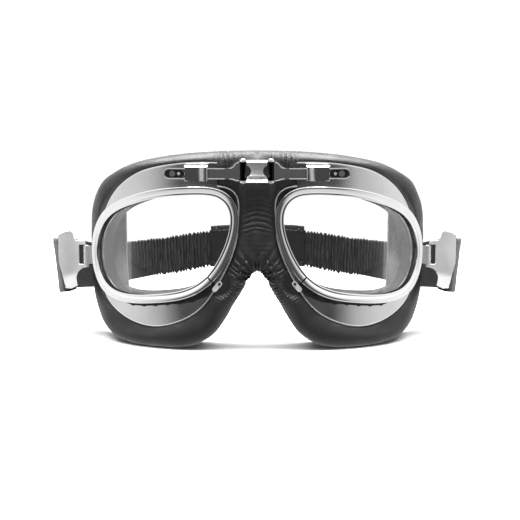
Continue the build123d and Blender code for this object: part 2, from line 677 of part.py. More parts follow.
# Front views of the two lengths of elastic.
outer_join = ELASTIC_JOIN_X + FIT
inner_join = ELASTIC_JOIN_X - FIT
elastic_end = PANEL_HALF_WIDTH + 2 * FIT
ELASTIC_OUTER_LINE = [
    (outer_join, 27.6), (outer_join, 51.0), (88.0, 49.3), (88.0, 39.0), (84.0, 37.0), (68.0, 27.2),
]
ELASTIC_INNER_LINE = [
    (elastic_end, 32.0), (elastic_end, 54.9), (inner_join, 51.0), (inner_join, 27.6),
]


def cut_to(outline):
    """Everything behind the lenses inside a front-view outline."""
    with BuildPart() as block:
        with BuildSketch(Plane.XZ.offset(-FRONT)):
            with BuildLine():
                Polyline(*outline, close=True)
            make_face()
        extrude(amount=-STRAP_BACK)
    return block.part


def loop_band(layers, outline):
    """The part of the strap loop behind its widest place that fills a front-view outline."""
    with BuildPart() as band:
        with BuildSketch(Plane.XY):
            with Locations((0, strap_y)):
                Ellipse(STRAP_HALF_WIDTH - layers[0], STRAP_DEPTH - layers[0])
                Ellipse(STRAP_HALF_WIDTH - layers[1], STRAP_DEPTH - layers[1], mode=Mode.SUBTRACT)
            with Locations((0, strap_y + STRAP_DEPTH / 2)):
                Rectangle(2 * STRAP_HALF_WIDTH, STRAP_DEPTH, mode=Mode.INTERSECT)
        extrude(amount=FACE_TOP)
        add(cut_to(outline), mode=Mode.INTERSECT)
    return band.part


leather_middle = sum(LEATHER) / 2
with BuildPart() as strap_end:
    with BuildSketch(Plane.XY.offset(HOOK_HEIGHTS[0])):
        with BuildLine() as fold_path:
            fold_end = (STRAP_HALF_WIDTH - leather_middle, strap_y)
            run = Line(
                (FOLD_START[0], FRONT + FOLD_START[1]),
                (fold_end[0] - FOLD_RADIUS, FRONT + FOLD_START[1] + FOLD_RISE),
            )
            TangentArc(run @ 1, fold_end, tangent=run % 1)
        trace(fold_path.line, line_width=LEATHER[1] - LEATHER[0])
    extrude(amount=HOOK_HEIGHTS[1] - HOOK_HEIGHTS[0])
    add(cut_to(FOLD_LINE), mode=Mode.INTERSECT)
    add(loop_band(LEATHER, LEATHER_LINE))
save_pair(strap_end.part, "strap_end")

with BuildPart() as elastic_outer:
    add(loop_band(ELASTIC, ELASTIC_OUTER_LINE))
save_pair(elastic_outer.part, "elastic_outer")

with BuildPart() as elastic_inner:
    add(loop_band(ELASTIC, ELASTIC_INNER_LINE))
save_pair(elastic_inner.part, "elastic_inner")

# ---- Back panel and its rivets ---------------------------------------------------------------

PANEL_LINE = [(0, 31.0), (0, 59.9), (PANEL_HALF_WIDTH, 58.2), (PANEL_HALF_WIDTH, 31.2)]
RIVET_X = 28.6
RIVET_ZS = (33.4, 56.6)
RIVET_RADIUS = 0.8
RIVET_HEAD = (1.5, 0.5)  # radius and thickness
panel_middle = sum(PANEL) / 2
rivet_half_a = STRAP_HALF_WIDTH - panel_middle
rivet_half_b = STRAP_DEPTH - panel_middle
rivet_y = rivet_half_b * sqrt(1 - (RIVET_X / rivet_half_a) ** 2)
rivet_out = Vector(RIVET_X / rivet_half_a**2, rivet_y / rivet_half_b**2).normalized()


def strap_rivet(z):
    """A rivet through the right-hand end of the back panel, with a head on both sides."""
    axis_plane = Plane(origin=(RIVET_X, strap_y + rivet_y, z), z_dir=rivet_out)
    half_length = (PANEL[1] - PANEL[0]) / 2 + 2 * FIT
    with BuildPart() as rivet:
        with BuildSketch(axis_plane):
            Circle(RIVET_RADIUS)
        extrude(amount=half_length, both=True)
        for head_back in (half_length, -half_length - RIVET_HEAD[1]):
            with BuildSketch(axis_plane.offset(head_back)):
                Circle(RIVET_HEAD[0])
            extrude(amount=RIVET_HEAD[1])
    return rivet.part


with BuildPart() as strap_panel:
    add(loop_band(PANEL, PANEL_LINE))
    for rivet_z in RIVET_ZS:
        add(strap_rivet(rivet_z), mode=Mode.SUBTRACT)
    mirror(about=Plane.YZ)
save(strap_panel.part, "strap_panel")

for rivet_z, place in zip(RIVET_ZS, ("lower", "upper")):
    save_pair(strap_rivet(rivet_z), f"strap_rivet_{place}")
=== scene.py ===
"""Looks of the motorcycle goggles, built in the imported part's own frame.

Shapes are given in millimetres, as in the CAD source, and turned into metres when a mesh is
made. Every right-hand piece has a mirror image on the left.
"""

import json
from math import asin, cos, pi, radians, sin

import bmesh
import bpy
import numpy as np
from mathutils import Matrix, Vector, noise

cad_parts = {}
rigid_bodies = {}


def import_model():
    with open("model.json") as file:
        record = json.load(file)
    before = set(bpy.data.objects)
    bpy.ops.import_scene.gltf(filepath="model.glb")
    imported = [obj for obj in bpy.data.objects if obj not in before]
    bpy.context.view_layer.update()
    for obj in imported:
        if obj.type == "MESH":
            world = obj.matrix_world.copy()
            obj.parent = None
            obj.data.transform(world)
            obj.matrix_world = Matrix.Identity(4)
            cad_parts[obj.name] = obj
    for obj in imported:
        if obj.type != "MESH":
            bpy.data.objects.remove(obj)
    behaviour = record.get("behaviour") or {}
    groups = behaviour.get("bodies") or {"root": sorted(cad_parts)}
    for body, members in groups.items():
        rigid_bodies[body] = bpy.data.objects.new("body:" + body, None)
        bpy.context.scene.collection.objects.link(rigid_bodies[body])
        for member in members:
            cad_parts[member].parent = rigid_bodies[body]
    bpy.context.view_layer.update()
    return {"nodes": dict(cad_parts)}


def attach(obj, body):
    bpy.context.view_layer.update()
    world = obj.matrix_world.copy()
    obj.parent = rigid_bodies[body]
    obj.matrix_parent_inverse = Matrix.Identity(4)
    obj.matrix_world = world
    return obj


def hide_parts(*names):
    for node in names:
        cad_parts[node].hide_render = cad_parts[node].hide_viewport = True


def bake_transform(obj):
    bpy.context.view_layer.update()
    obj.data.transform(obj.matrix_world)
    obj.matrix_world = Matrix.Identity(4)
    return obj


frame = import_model()

# ---- Shared dimensions (millimetres) -----------------------------------------------

MM = 0.001
FRONT = -73.86  # y of the foremost point, from which depths are measured
LENS_X = 21.0  # upright axis of the right-hand lens wall
LENS_DEPTH = 83.0
LENS_Y = FRONT + LENS_DEPTH
LAID = 84.0  # radius of the wall on which outlines are laid out
FACE_RADIUS = 110.0  # the pads' rear side follows this arc round the face
FACE_DEPTH = 142.0  # depth of that arc's axis
PAD_RADIUS = 78.0  # radius of the leather's front about the lens axis
STRAP_Y = FRONT + 54.0  # the strap's rear half is half an ellipse from here
STRAP_A = 119.1
STRAP_B = 98.8
SIDES = (("right", 1), ("left", -1))

RIM_LINE = [
    (30.0, 87.2), (52.5, 85.8), (68.0, 82.1), (82.5, 75.3), (91.0, 64.0), (93.6, 51.0),
    (91.0, 38.5), (84.0, 30.2), (72.0, 27.2), (55.0, 28.3), (38.5, 31.6), (26.0, 39.3),
    (17.0, 52.5), (12.2, 68.0), (13.6, 79.2), (19.8, 85.3),
]
FRAME_LINE = [
    (21.5, 102.4), (38.8, 102.2), (58.3, 99.6), (70.1, 95.6), (81.6, 87.4), (89.5, 76.0),
    (93.4, 64.0), (94.4, 50.0), (93.6, 36.0), (89.2, 25.0), (81.0, 18.0), (70.0, 13.5),
    (58.0, 12.2), (47.0, 14.4), (36.6, 19.0), (28.0, 26.2), (20.6, 36.8), (13.6, 50.0),
    (9.9, 63.0), (9.0, 75.0), (9.6, 83.0), (12.8, 87.3), (17.1, 89.3), (21.5, 90.0),
]
PAD_LINE = [
    (0.0, 107.2), (9.0, 107.2), (31.0, 106.6), (48.0, 105.0), (65.5, 101.8), (78.5, 96.9),
    (88.6, 89.5), (95.0, 77.3), (97.5, 60.0), (97.3, 42.0), (94.6, 26.0), (89.9, 12.5),
    (82.0, 3.6), (70.0, 0.6), (57.0, 0.2), (44.0, 0.4), (32.0, 2.8), (21.5, 10.6),
    (14.0, 23.2), (8.8, 32.4), (6.6, 36.4), (3.8, 40.3), (0.0, 42.7),
]

# ---- Curves ------------------------------------------------------------------------


def unit(rows):
    """Each row of an array as a vector of length 1."""
    return rows / np.linalg.norm(rows, axis=1)[:, None]


def lengths(line):
    """Distance along a line to each of its points."""
    return np.concatenate([[0], np.cumsum(np.linalg.norm(np.diff(line, axis=0), axis=1))])


def at_lengths(at, along, line):
    """Points of a line at distances along it."""
    return np.column_stack([np.interp(at, along, column) for column in line.T])


def cubic(points, closed, count):
    """Points evenly spaced along the cubic spline through a few points."""
    p = np.array(points, float)
    if closed:
        p = np.vstack([p[-4:], p, p[:5]])
    step = np.sqrt(np.linalg.norm(np.diff(p, axis=0), axis=1))
    t = np.concatenate([[0], np.cumsum(step)])
    n = len(p)
    a = np.zeros((n, n))
    b = np.zeros((n, p.shape[1]))
    a[0, 0] = a[-1, -1] = 1
    for i in range(1, n - 1):
        h0, h1 = t[i] - t[i - 1], t[i + 1] - t[i]
        a[i, i - 1 : i + 2] = h0, 2 * (h0 + h1), h1
        b[i] = 6 * ((p[i + 1] - p[i]) / h1 - (p[i] - p[i - 1]) / h0)
    bend = np.linalg.solve(a, b)
    low, high = (t[4], t[n - 5]) if closed else (t[0], t[-1])
    fine = np.linspace(low, high, 4000)
    k = np.clip(np.searchsorted(t, fine, side="right") - 1, 0, n - 2)
    h = (t[k + 1] - t[k])[:, None]
    u = ((fine - t[k])[:, None]) / h
    v = 1 - u
    sag = (v**3 - v) * bend[k] + (u**3 - u) * bend[k + 1]
    curve = v * p[k] + u * p[k + 1] + h * h / 6 * sag
    along = lengths(curve)
    at = np.linspace(0, along[-1], count, endpoint=not closed)
    return at_lengths(at, along, curve)


def laid_out(points):
    """Front-view points as (distance round the lens wall, height)."""
    p = np.array(points, float)
    return np.column_stack([LAID * np.arcsin((p[:, 0] - LENS_X) / LAID), p[:, 1]])


def outward(line, closed=True):
    """Unit normals of a clockwise line, pointing out of it."""
    if closed:
        step = np.roll(line, -1, 0) - np.roll(line, 1, 0)
    else:
        step = np.gradient(line, axis=0)
    step = unit(step)
    return np.column_stack([-step[:, 1], step[:, 0]])


def on_wall(laid, radius):
    """Laid-out points on the wall of this radius about the lens axis."""
    turn = laid[:, 0] / LAID
    x, y = LENS_X + radius * np.sin(turn), LENS_Y - radius * np.cos(turn)
    return np.column_stack([x, y, laid[:, 1]])


def smooth_step(value, low, high):
    """0 below low, 1 above high."""
    t = np.clip((np.asarray(value, float) - low) / (high - low), 0, 1)
    return t * t * (3 - 2 * t)


def distance_to(points, line):
    """Distance from each point to the nearest of a dense line's points, and its index."""
    best = np.full(len(points), 1e9)
    which = np.zeros(len(points), int)
    for start in range(0, len(points), 4000):
        part = points[start : start + 4000]
        d = np.hypot(part[:, None, 0] - line[None, :, 0], part[:, None, 1] - line[None, :, 1])
        which[start : start + 4000] = d.argmin(1)
        best[start : start + 4000] = d.min(1)
    return best, which


def wobble(points, size, seed):
    """Smooth noise at points in millimetres, about -1 to 1."""
    shift = Vector((seed * 7.31, seed * 3.17, seed * 5.23))
    return np.array([noise.fractal(Vector(p) / size + shift, 1.0, 2.0, 2) for p in points])


# ---- Meshes ------------------------------------------------------------------------


def piece(name, points, faces, side=1, smooth=35):
    """A mesh object from points in millimetres, mirrored for the left side."""
    p = np.array(points, float) * MM
    p[:, 0] *= side
    mesh = bpy.data.meshes.new(name)
    mesh.from_pydata(p.tolist(), [], [list(map(int, f)) for f in faces])
    bm = bmesh.new()
    bm.from_mesh(mesh)
    bmesh.ops.remove_doubles(bm, verts=bm.verts, dist=1e-7)
    bmesh.ops.recalc_face_normals(bm, faces=bm.faces)
    bm.to_mesh(mesh)
    bm.free()
    mesh.polygons.foreach_set("use_smooth", [True] * len(mesh.polygons))
    mesh.set_sharp_from_angle(angle=radians(smooth))
    obj = bpy.data.objects.new(name, mesh)
    bpy.context.scene.collection.objects.link(obj)
    return obj


def grid_faces(rows, columns, wrap_rows, wrap_columns, start=0):
    """Quads of a grid of points stored row by row."""
    faces = []
    for r in range(rows if wrap_rows else rows - 1):
        for c in range(columns if wrap_columns else columns - 1):
            r2, c2 = (r + 1) % rows, (c + 1) % columns
            faces.append(
                (start + r * columns + c, start + r * columns + c2,
                 start + r2 * columns + c2, start + r2 * columns + c)
            )
    return faces


def caps(rings, count):
    """The two end faces of a run of rings, each ring being one row of count points long."""
    first = [r * count for r in range(rings)]
    return [first, [i + count - 1 for i in first][::-1]]


def swept(laid, profile, closed=True):
    """Points and faces of a closed profile of (outward, radius) swept along a laid-out line."""
    normal = outward(laid, closed)
    rings = [on_wall(laid + normal * g, r) for g, r in profile]
    points = np.concatenate(rings)
    count = len(laid)
    faces = grid_faces(len(profile), count, True, closed)
    return points, faces if closed else faces + caps(len(profile), count)


def round_profile(centre, radius, count=10):
    """A circle as a profile."""
    turns = [2 * pi * i / count for i in range(count)]
    return [(centre[0] + radius * cos(a), centre[1] + radius * sin(a)) for a in turns]


def round_rings(path, radius, side, top, count):
    """Points of a round section carried along a path: one row of points for each turn."""
    turns = [2 * pi * i / count for i in range(count)]
    return np.concatenate([path + radius * (cos(a) * side + sin(a) * top) for a in turns])


def tube(path, radius, count):
    """Points and faces of a round tube along a path of 3-D points, with closed ends."""
    p = np.array(path, float)
    along = unit(np.gradient(p, axis=0))
    up = np.tile([0.0, 0.0, 1.0], (len(p), 1))
    steep = np.abs(along[:, 2]) > 0.9
    up[steep] = [1.0, 0.0, 0.0]
    side = unit(np.cross(along, up))
    faces = grid_faces(count, len(p), True, False) + caps(count, len(p))
    return round_rings(p, radius, side, np.cross(side, along), count), faces


def joined(parts):
    """Several lots of points and faces as one."""
    points, faces = [], []
    for p, f in parts:
        start = sum(len(q) for q in points)
        points.append(np.asarray(p, float))
        faces += [[start + i for i in face] for face in f]
    return np.concatenate(points), faces


# ---- Materials ---------------------------------------------------------------------


class Nodes:
    """A node tree under construction."""

    def __init__(self, tree, place):
        self.tree = tree
        self.place = self.add("ShaderNodeTexCoord").outputs[place]

    def feed(self, socket, value):
        """Joins a node's output to a socket, or sets the socket's own value."""
        if isinstance(value, bpy.types.NodeSocket):
            self.tree.links.new(value, socket)
        else:
            socket.default_value = value

    def add(self, kind, **values):
        """A node with its settings and inputs."""
        node = self.tree.nodes.new(kind)
        for key, value in values.items():
            if key in node.inputs:
                self.feed(node.inputs[key], value)
            else:
                setattr(node, key, value)
        return node

    def stretched(self, *scale):
        """The place, stretched by a factor along each axis."""
        return self.add("ShaderNodeMapping", Scale=scale, Vector=self.place).outputs[0]

    def noise(self, scale, detail=3.0, rough=0.5, place=None):
        node = self.add("ShaderNodeTexNoise", Scale=scale, Detail=detail, Roughness=rough)
        self.feed(node.inputs["Vector"], place or self.place)
        return node.outputs["Fac"]

    def axis(self, letter):
        """One coordinate of the place, in metres."""
        return self.add("ShaderNodeSeparateXYZ", Vector=self.place).outputs[letter]

    def off_middle(self):
        """Distance from the goggles' middle plane, in metres."""
        return self.maths("ABSOLUTE", self.axis("X"), 0)

    def ramp(self, source, low, high, out_low, out_high):
        """A value carried from one range to another, and held at its ends."""
        ends = {"From Min": low, "From Max": high, "To Min": out_low, "To Max": out_high}
        return self.add("ShaderNodeMapRange", Value=source, **ends).outputs[0]

    def maths(self, operation, a, b):
        node = self.add("ShaderNodeMath", operation=operation)
        self.feed(node.inputs[0], a)
        self.feed(node.inputs[1], b)
        return node.outputs[0]

    def plus(self, a, b):
        return self.maths("ADD", a, b)

    def times(self, a, b):
        return self.maths("MULTIPLY", a, b)

    def shares(self, first, part, second, other_part):
        """The sum of two values, each times its part."""
        return self.plus(self.times(first, part), self.times(second, other_part))

    def colours(self, source, *stops):
        """A grey from a 0 to 1 value, by (place, lightness) stops."""
        node = self.add("ShaderNodeValToRGB")
        band = node.color_ramp
        while len(band.elements) < len(stops):
            band.elements.new(0.5)
        for element, (at, lightness) in zip(band.elements, stops):
            element.position = at
            element.color = grey(lightness)
        self.feed(node.inputs[0], source)
        return node.outputs["Color"]

    def mixed(self, kind, share, first, second):
        node = self.add("ShaderNodeMix", data_type="RGBA", blend_type=kind, Factor=share)
        self.feed(node.inputs[6], first)
        self.feed(node.inputs[7], second)
        return node.outputs[2]


class Look(Nodes):
    """A procedural material under construction."""

    def __init__(self, name):
        self.material = bpy.data.materials.new(name)
        self.material.use_nodes = True
        super().__init__(self.material.node_tree, "Object")
        self.shader = self.tree.nodes["Principled BSDF"]

    def bump(self, height, distance, strength=1.0, under=None):
        node = self.add("ShaderNodeBump", Strength=strength, Distance=distance, Height=height)
        if under is not None:
            self.feed(node.inputs["Normal"], under)
        return node.outputs[0]

    def brushing(self):
        """Fine level streaks."""
        return self.noise(500, 5, 0.7, self.stretched(0.06, 0.06, 6))

    def set(self, **values):
        for key, value in values.items():
            self.feed(self.shader.inputs[key.replace("_", " ")], value)


def grey(lightness):
    return (lightness, lightness, lightness, 1)


def chrome_look():
    look = Look("chrome")
    smudge = look.noise(90, 4)
    scratch = look.noise(60, 6, 0.7, look.stretched(30, 30, 2))
    peel = look.bump(look.noise(420, 2), 0.00001, 0.5, look.bump(scratch, 0.000006, 0.4))
    look.set(
        Base_Color=look.colours(smudge, (0.3, 0.97), (0.8, 0.91)), Metallic=1.0, Normal=peel,
        Roughness=look.plus(
            look.ramp(smudge, 0.35, 0.75, 0.045, 0.11), look.ramp(scratch, 0.55, 0.75, 0, 0.05)
        ),
    )
    return look.material


def satin_look(name, light, dark, rough_low, rough_high):
    look = Look(name)
    cloud = look.noise(45, 4)
    brushed = look.brushing()
    grain = look.bump(look.noise(2600, 2), 0.000006, 0.5)
    look.set(
        Base_Color=look.colours(cloud, (0.3, dark), (0.7, light)), Metallic=1.0,
        Normal=look.bump(brushed, 0.00001, 0.35, grain),
        Roughness=look.plus(
            look.ramp(cloud, 0.3, 0.7, rough_low, rough_high),
            look.ramp(brushed, 0.3, 0.7, -0.03, 0.05),
        ),
    )
    return look.material


# Painted shade: the front of the nose, behind the bridge link, where the leather's gloss is turned
# down so that it reads dull and dark, like the link's shadow.
SHADE_BEHIND_LINK_X = (8.5 * MM, 10 * MM)
SHADE_BEHIND_LINK_LOW = (90.5 * MM, 91.5 * MM)
SHADE_BEHIND_LINK_HIGH = (102.2 * MM, 103.4 * MM)
# Where the strap's fold is worn pale: its x, which leans in as it rises, and its depth.
WORN_FOLD_X = (114.5 * MM, 117.5 * MM)
WORN_FOLD_Z = (27 * MM, 58 * MM)
WORN_FOLD_LEAN = 3.1 * MM
WORN_FOLD_Y = (FRONT * MM + 0.0495, FRONT * MM + 0.0535)
WORN_GREY = 0.14


def leather_look(name, light, rough, bump, worn=False):
    look = Look(name)
    cloud = look.noise(70, 5, 0.6)
    warp = look.noise(260, 3)
    cells = look.add(
        "ShaderNodeTexVoronoi", feature="DISTANCE_TO_EDGE", Scale=820.0, Vector=look.place
    )
    pebble = look.ramp(cells.outputs["Distance"], 0.0, 0.32, 0.0, 1.0)
    fine = look.noise(3200, 3, 0.6)
    height = look.plus(look.shares(pebble, 0.6, fine, 0.25), look.times(warp, 0.8))
    tone = look.shares(cloud, 0.75, pebble, 0.2)
    colour = look.colours(tone, (0.2, light * 0.45), (0.5, light), (0.85, light * 1.9))
    off = look.off_middle()
    # Painted shade: less gloss on the nose leather behind the bridge link stands in for the link's
    # shadow.
    painted_shade = look.times(
        look.ramp(off, *SHADE_BEHIND_LINK_X, 1, 0), look.ramp(look.axis("Z"), *SHADE_BEHIND_LINK_LOW, 0, 1)
    )
    painted_shade = look.times(painted_shade, look.ramp(look.axis("Z"), *SHADE_BEHIND_LINK_HIGH, 1, 0))
    if worn:
        off = look.plus(off, look.ramp(look.axis("Z"), *WORN_FOLD_Z, WORN_FOLD_LEAN, 0.0))
        off = look.plus(off, look.ramp(cloud, 0.3, 0.7, -0.0004, 0.0004))
        fold = look.ramp(look.axis("Y"), *WORN_FOLD_Y, 1.0, 0.0)
        fold = look.times(look.ramp(off, *WORN_FOLD_X, 0, 1), fold)
        colour = look.mixed("MIX", fold, colour, grey(WORN_GREY))
    look.set(
        Base_Color=colour, Specular_IOR_Level=look.ramp(painted_shade, 0, 1, 0.5, 0.05),
        Normal=look.bump(height, 0.00011, 0.8 * bump),
        Roughness=look.plus(
            look.ramp(cloud, 0.3, 0.7, rough + 0.08, rough - 0.05),
            look.ramp(pebble, 0, 1, 0.14, 0.0),
        ),
    )
    return look.material


def elastic_look():
    look = Look("elastic")
    threads = look.noise(1400, 2, 0.5, look.stretched(1, 1, 4))
    ribs = look.noise(900, 3, 0.5, look.stretched(3, 3, 0.15))
    tone = look.shares(threads, 0.5, ribs, 0.5)
    look.set(
        Base_Color=look.colours(tone, (0.35, 0.002), (0.52, 0.01), (0.68, 0.07)),
        Roughness=look.ramp(look.noise(120, 3), 0.3, 0.7, 0.62, 0.8), Specular_IOR_Level=0.35,
        Sheen_Weight=0.1, Sheen_Roughness=0.4, Normal=look.bump(tone, 0.00022, 0.8),
    )
    return look.material


def fuzzy_look(name, low, high, brow_painted_shade=0.0):
    look = Look(name)
    fuzz = look.noise(1500, 4, 0.7)
    cloud = look.noise(110, 4, 0.6)
    tone = look.shares(fuzz, 0.45, cloud, 0.55)
    # Painted shade: the lining is made darker from 43 to 55 mm up, towards the brow, standing in
    # for the shade under it.
    tone = look.plus(tone, look.ramp(look.axis("Z"), 0.043, 0.055, 0.0, -brow_painted_shade))
    look.set(
        Base_Color=look.colours(tone, (0.2, 0.25 * low), (0.35, low), (0.65, high)),
        Roughness=look.ramp(fuzz, 0.3, 0.7, 0.8, 0.95), Specular_IOR_Level=0.1,
        Normal=look.bump(fuzz, 0.0003, 0.9),
    )
    return look.material


def rubber_look():
    look = Look("rubber")
    dust = look.noise(300, 4, 0.6)
    look.set(
        Base_Color=look.colours(dust, (0.35, 0.004), (0.7, 0.012)),
        Roughness=look.ramp(dust, 0.3, 0.7, 0.45, 0.65), Specular_IOR_Level=0.25,
        Normal=look.bump(dust, 0.00004, 0.5),
    )
    return look.material


def thread_look():
    look = Look("thread")
    twist = look.noise(4000, 2)
    look.set(
        Base_Color=look.colours(twist, (0.3, 0.02), (0.7, 0.07)),
        Roughness=look.ramp(twist, 0.3, 0.7, 0.5, 0.7), Sheen_Weight=0.2,
        Normal=look.bump(twist, 0.00005, 0.8),
    )
    return look.material


def lens_look():
    """Clear lens: see-through, with a mirror gloss that grows at a slant."""
    look = Look("clear_lens")
    haze = look.noise(35, 4, 0.6)
    clear = look.add("ShaderNodeBsdfTransparent", Color=grey(0.995))
    rough = look.ramp(haze, 0.3, 0.75, 0.02, 0.07)
    gloss = look.add("ShaderNodeBsdfGlossy", Color=grey(1), Roughness=rough)
    slant = look.add("ShaderNodeFresnel", IOR=1.45)
    both = look.add("ShaderNodeMixShader")
    share = look.times(slant.outputs[0], look.ramp(haze, 0.3, 0.7, 0.2, 0.28))
    for socket, value in zip(both.inputs, (share, clear.outputs[0], gloss.outputs[0])):
        look.feed(socket, value)
    look.feed(look.tree.nodes["Material Output"].inputs["Surface"], both.outputs[0])
    look.tree.nodes.remove(look.shader)
    return look.material


def arm_look():
    """Satin steel, with painted shade: near black round the hinge, where it lies behind the bridge
    link.
    """
    look = Look("arm_steel")
    cloud = look.noise(60, 4)
    # Painted shade: within about 9 mm of the middle the steel is coloured near black, standing in
    # for the shade behind the bridge link.
    tone = look.plus(
        look.ramp(look.off_middle(), 0.0088, 0.0093, 0.0, 0.75), look.times(cloud, 0.25)
    )
    look.set(
        Base_Color=look.colours(tone, (0.12, 0.004), (0.3, 0.01), (0.78, 0.72), (0.95, 0.8)),
        Metallic=1.0, Roughness=look.ramp(cloud, 0.3, 0.7, 0.14, 0.24),
        Normal=look.bump(look.brushing(), 0.00001, 0.35),
    )
    return look.material


def keeper_look():
    """Dark polished steel with a painted highlight: a lighter, rougher upright band."""
    look = Look("keeper_steel")
    cloud = look.noise(90, 4)
    off = look.plus(look.off_middle(), look.ramp(cloud, 0.3, 0.7, -0.0004, 0.0004))
    beside = look.maths("ABSOLUTE", look.maths("SUBTRACT", off, 0.0296), 0)
    # Painted highlight: an upright band 29.6 mm from the middle is made lighter and rougher,
    # standing in for the light caught by the keeper's curved front.
    band = look.ramp(beside, 0.0007, 0.0022, 1.0, 0.0)
    look.set(
        Base_Color=look.colours(band, (0.0, 0.5), (1.0, 0.85)), Metallic=1.0,
        Roughness=look.ramp(band, 0.0, 1.0, 0.14, 0.5),
    )
    return look.material


KEEPER_STEEL = keeper_look()
ARM_STEEL = arm_look()
CHROME = chrome_look()
SATIN = satin_look("satin_steel", 0.78, 0.66, 0.17, 0.27)
HOOK_SATIN = satin_look("hook_steel", 0.95, 0.88, 0.5, 0.6)
CLASP_STEEL = satin_look("clasp_steel", 0.98, 0.94, 0.72, 0.8)
CUP_STEEL = satin_look("cup_steel", 0.16, 0.11, 0.45, 0.55)
EDGE_STEEL = satin_look("edge_steel", 0.92, 0.84, 0.24, 0.32)
LINK_STEEL = satin_look("link_steel", 0.97, 0.88, 0.42, 0.52)
LEATHER = leather_look("leather", 0.007, 0.35, 0.65)
STRAP_LEATHER = leather_look("strap_leather", 0.008, 0.44, 0.8, worn=True)
ELASTIC = elastic_look()
LINING = fuzzy_look("lining", 0.06, 0.2, brow_painted_shade=0.3)
BINDING = fuzzy_look("binding", 0.14, 0.34)
RUBBER = rubber_look()
THREAD = thread_look()
LENS = lens_look()


def coat(obj, material):
    obj.data.materials.clear()
    obj.data.materials.append(material)


def soften(obj, width, segments, angle):
    """Rounds a mesh's sharp edges."""
    bevel = obj.modifiers.new("soft_edge", "BEVEL")
    bevel.width = width * MM
    bevel.segments = segments
    bevel.limit_method = "ANGLE"
    bevel.angle_limit = radians(angle)


# ---- Carried-over metal and lens ---------------------------------------------------

NODE_LOOKS = {
    "bridge_link": LINK_STEEL, "hinge_pin": EDGE_STEEL, "strap_rivet": CHROME,
    "bridge_arm": ARM_STEEL, "arm_keeper": KEEPER_STEEL, "adjuster_screw": CHROME,
    "guide_stud": HOOK_SATIN, "strap_lug": HOOK_SATIN, "lug_rivet": CHROME,
    "clasp_pin": CHROME, "clasp": CLASP_STEEL, "strap_hook": HOOK_SATIN,
    "eye_frame": SATIN, "lens_gasket": RUBBER, "clamp_ring": CUP_STEEL, "lens": LENS,
}
BEVELS = {
    "bridge_link": 0.25, "bridge_arm": 0.14, "arm_keeper": 0.06, "clasp": 0.3,
    "strap_hook": 0.22, "adjuster_screw": 0.12, "guide_stud": 0.25, "strap_rivet": 0.18,
    "clasp_pin": 0.12,
}

for node, obj in frame["nodes"].items():
    # The longest known name that the node's name starts with.
    key = max((key for key in NODE_LOOKS if node.startswith(key)), key=len, default=None)
    if key is None:
        continue
    coat(obj, NODE_LOOKS[key])
    if key in BEVELS:
        soften(obj, BEVELS[key], 3, 40)

# ---- Rim and the eye frame's rolled edge -------------------------------------------

RIM_PROFILE = [
    (2.4, 79.6), (2.4, 81.4), (2.4, 83.2), (2.4, 83.8), (2.3, 84.2), (2.06, 84.48),
    (1.72, 84.6), (1.3, 84.56), (0.8, 84.42), (0.1, 84.16), (-0.6, 83.84), (-0.95, 83.62),
    (-1.1, 83.46), (-1.24, 83.4), (-1.45, 83.42), (-1.75, 83.44), (-2.1, 83.36), (-2.34, 83.16),
    (-2.4, 82.98), (-2.3, 82.9), (-1.8, 82.88), (0.4, 82.88), (1.2, 82.88), (1.2, 82.4),
    (1.2, 79.6),
]
rim_laid = laid_out(cubic(RIM_LINE, True, 560))
frame_laid = laid_out(cubic(FRAME_LINE, False, 620))
SPLIT_AT = [LAID * asin((21.6 - LENS_X) / LAID), 35.4]  # laid out, at the nose corner


def rim_shade_strip():
    """A black strip that paints the shade beyond the rim, under its lower edge and at its nose
    corner.
    """
    normal = outward(rim_laid)
    x = LENS_X + LAID * np.sin(rim_laid[:, 0] / LAID)
    z = rim_laid[:, 1]
    lower = smooth_step(-z, -44, -36) * smooth_step(-x, -82, -72)
    scallop = 0.5 * np.sin(x * 0.46) ** 10
    reach = 2.2 + lower * (1.9 + 2.2 * smooth_step(-x, -52, -26) + scallop)
    to_frame, _ = distance_to(rim_laid + normal * 2.4, frame_laid)
    corner = smooth_step(z, 66, 74) * smooth_step(-x, -24, -19)
    reach = reach + corner * np.clip(to_frame - 0.5, 0, 6)
    hidden = np.full(len(x), 1.9)
    section = (
        (hidden, 79.52), (hidden, 79.8), (reach - 0.15, 79.8), (reach, 79.7), (reach + 0.02, 79.52),
    )
    rings = [on_wall(rim_laid + normal * out[:, None], radius) for out, radius in section]
    return np.concatenate(rings), grid_faces(len(section), len(rim_laid), True, True)


for side_name, side in SIDES:
    split_at = np.argmin(np.linalg.norm(rim_laid - SPLIT_AT, axis=1))
    split_line = np.roll(rim_laid, -split_at - 1, 0)[:-1]
    rim = piece(f"rim_{side_name}", *swept(split_line, RIM_PROFILE, closed=False), side, 30)
    coat(rim, CHROME)
    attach(rim, f"frame_{side_name}")
    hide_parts(f"lens_rim_{side_name}")

    # Painted shade: a black rubber strip stands where the gap round the rim is only in shadow.
    rim_shade = piece(f"rim_seal_{side_name}", *rim_shade_strip(), side, 180)
    coat(rim_shade, RUBBER)
    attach(rim_shade, f"frame_{side_name}")

    bead_line = frame_laid + outward(frame_laid, False) * -0.32
    points, faces = swept(bead_line, round_profile((0.0, 79.35), 0.42, 12), closed=False)
    bead = piece(f"frame_edge_{side_name}", points, faces, side)
    coat(bead, EDGE_STEEL)
    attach(bead, f"frame_{side_name}")

# ---- Bridge arms: bright edging, and a dark plate painting the shade in the screw's pocket ---

TILT = radians(10.5)
ARM_BACK = 79.9  # the arm's back, from the lens axis
ARM_Z = 96.35


def on_arm(along, up, front):
    """A point on the right-hand bridge arm: along it, above its middle and in front of its back."""
    reach = ARM_BACK + front
    return (
        LENS_X + reach * sin(TILT) + along * cos(TILT),
        LENS_Y - reach * cos(TILT) + along * sin(TILT),
        ARM_Z + up,
    )


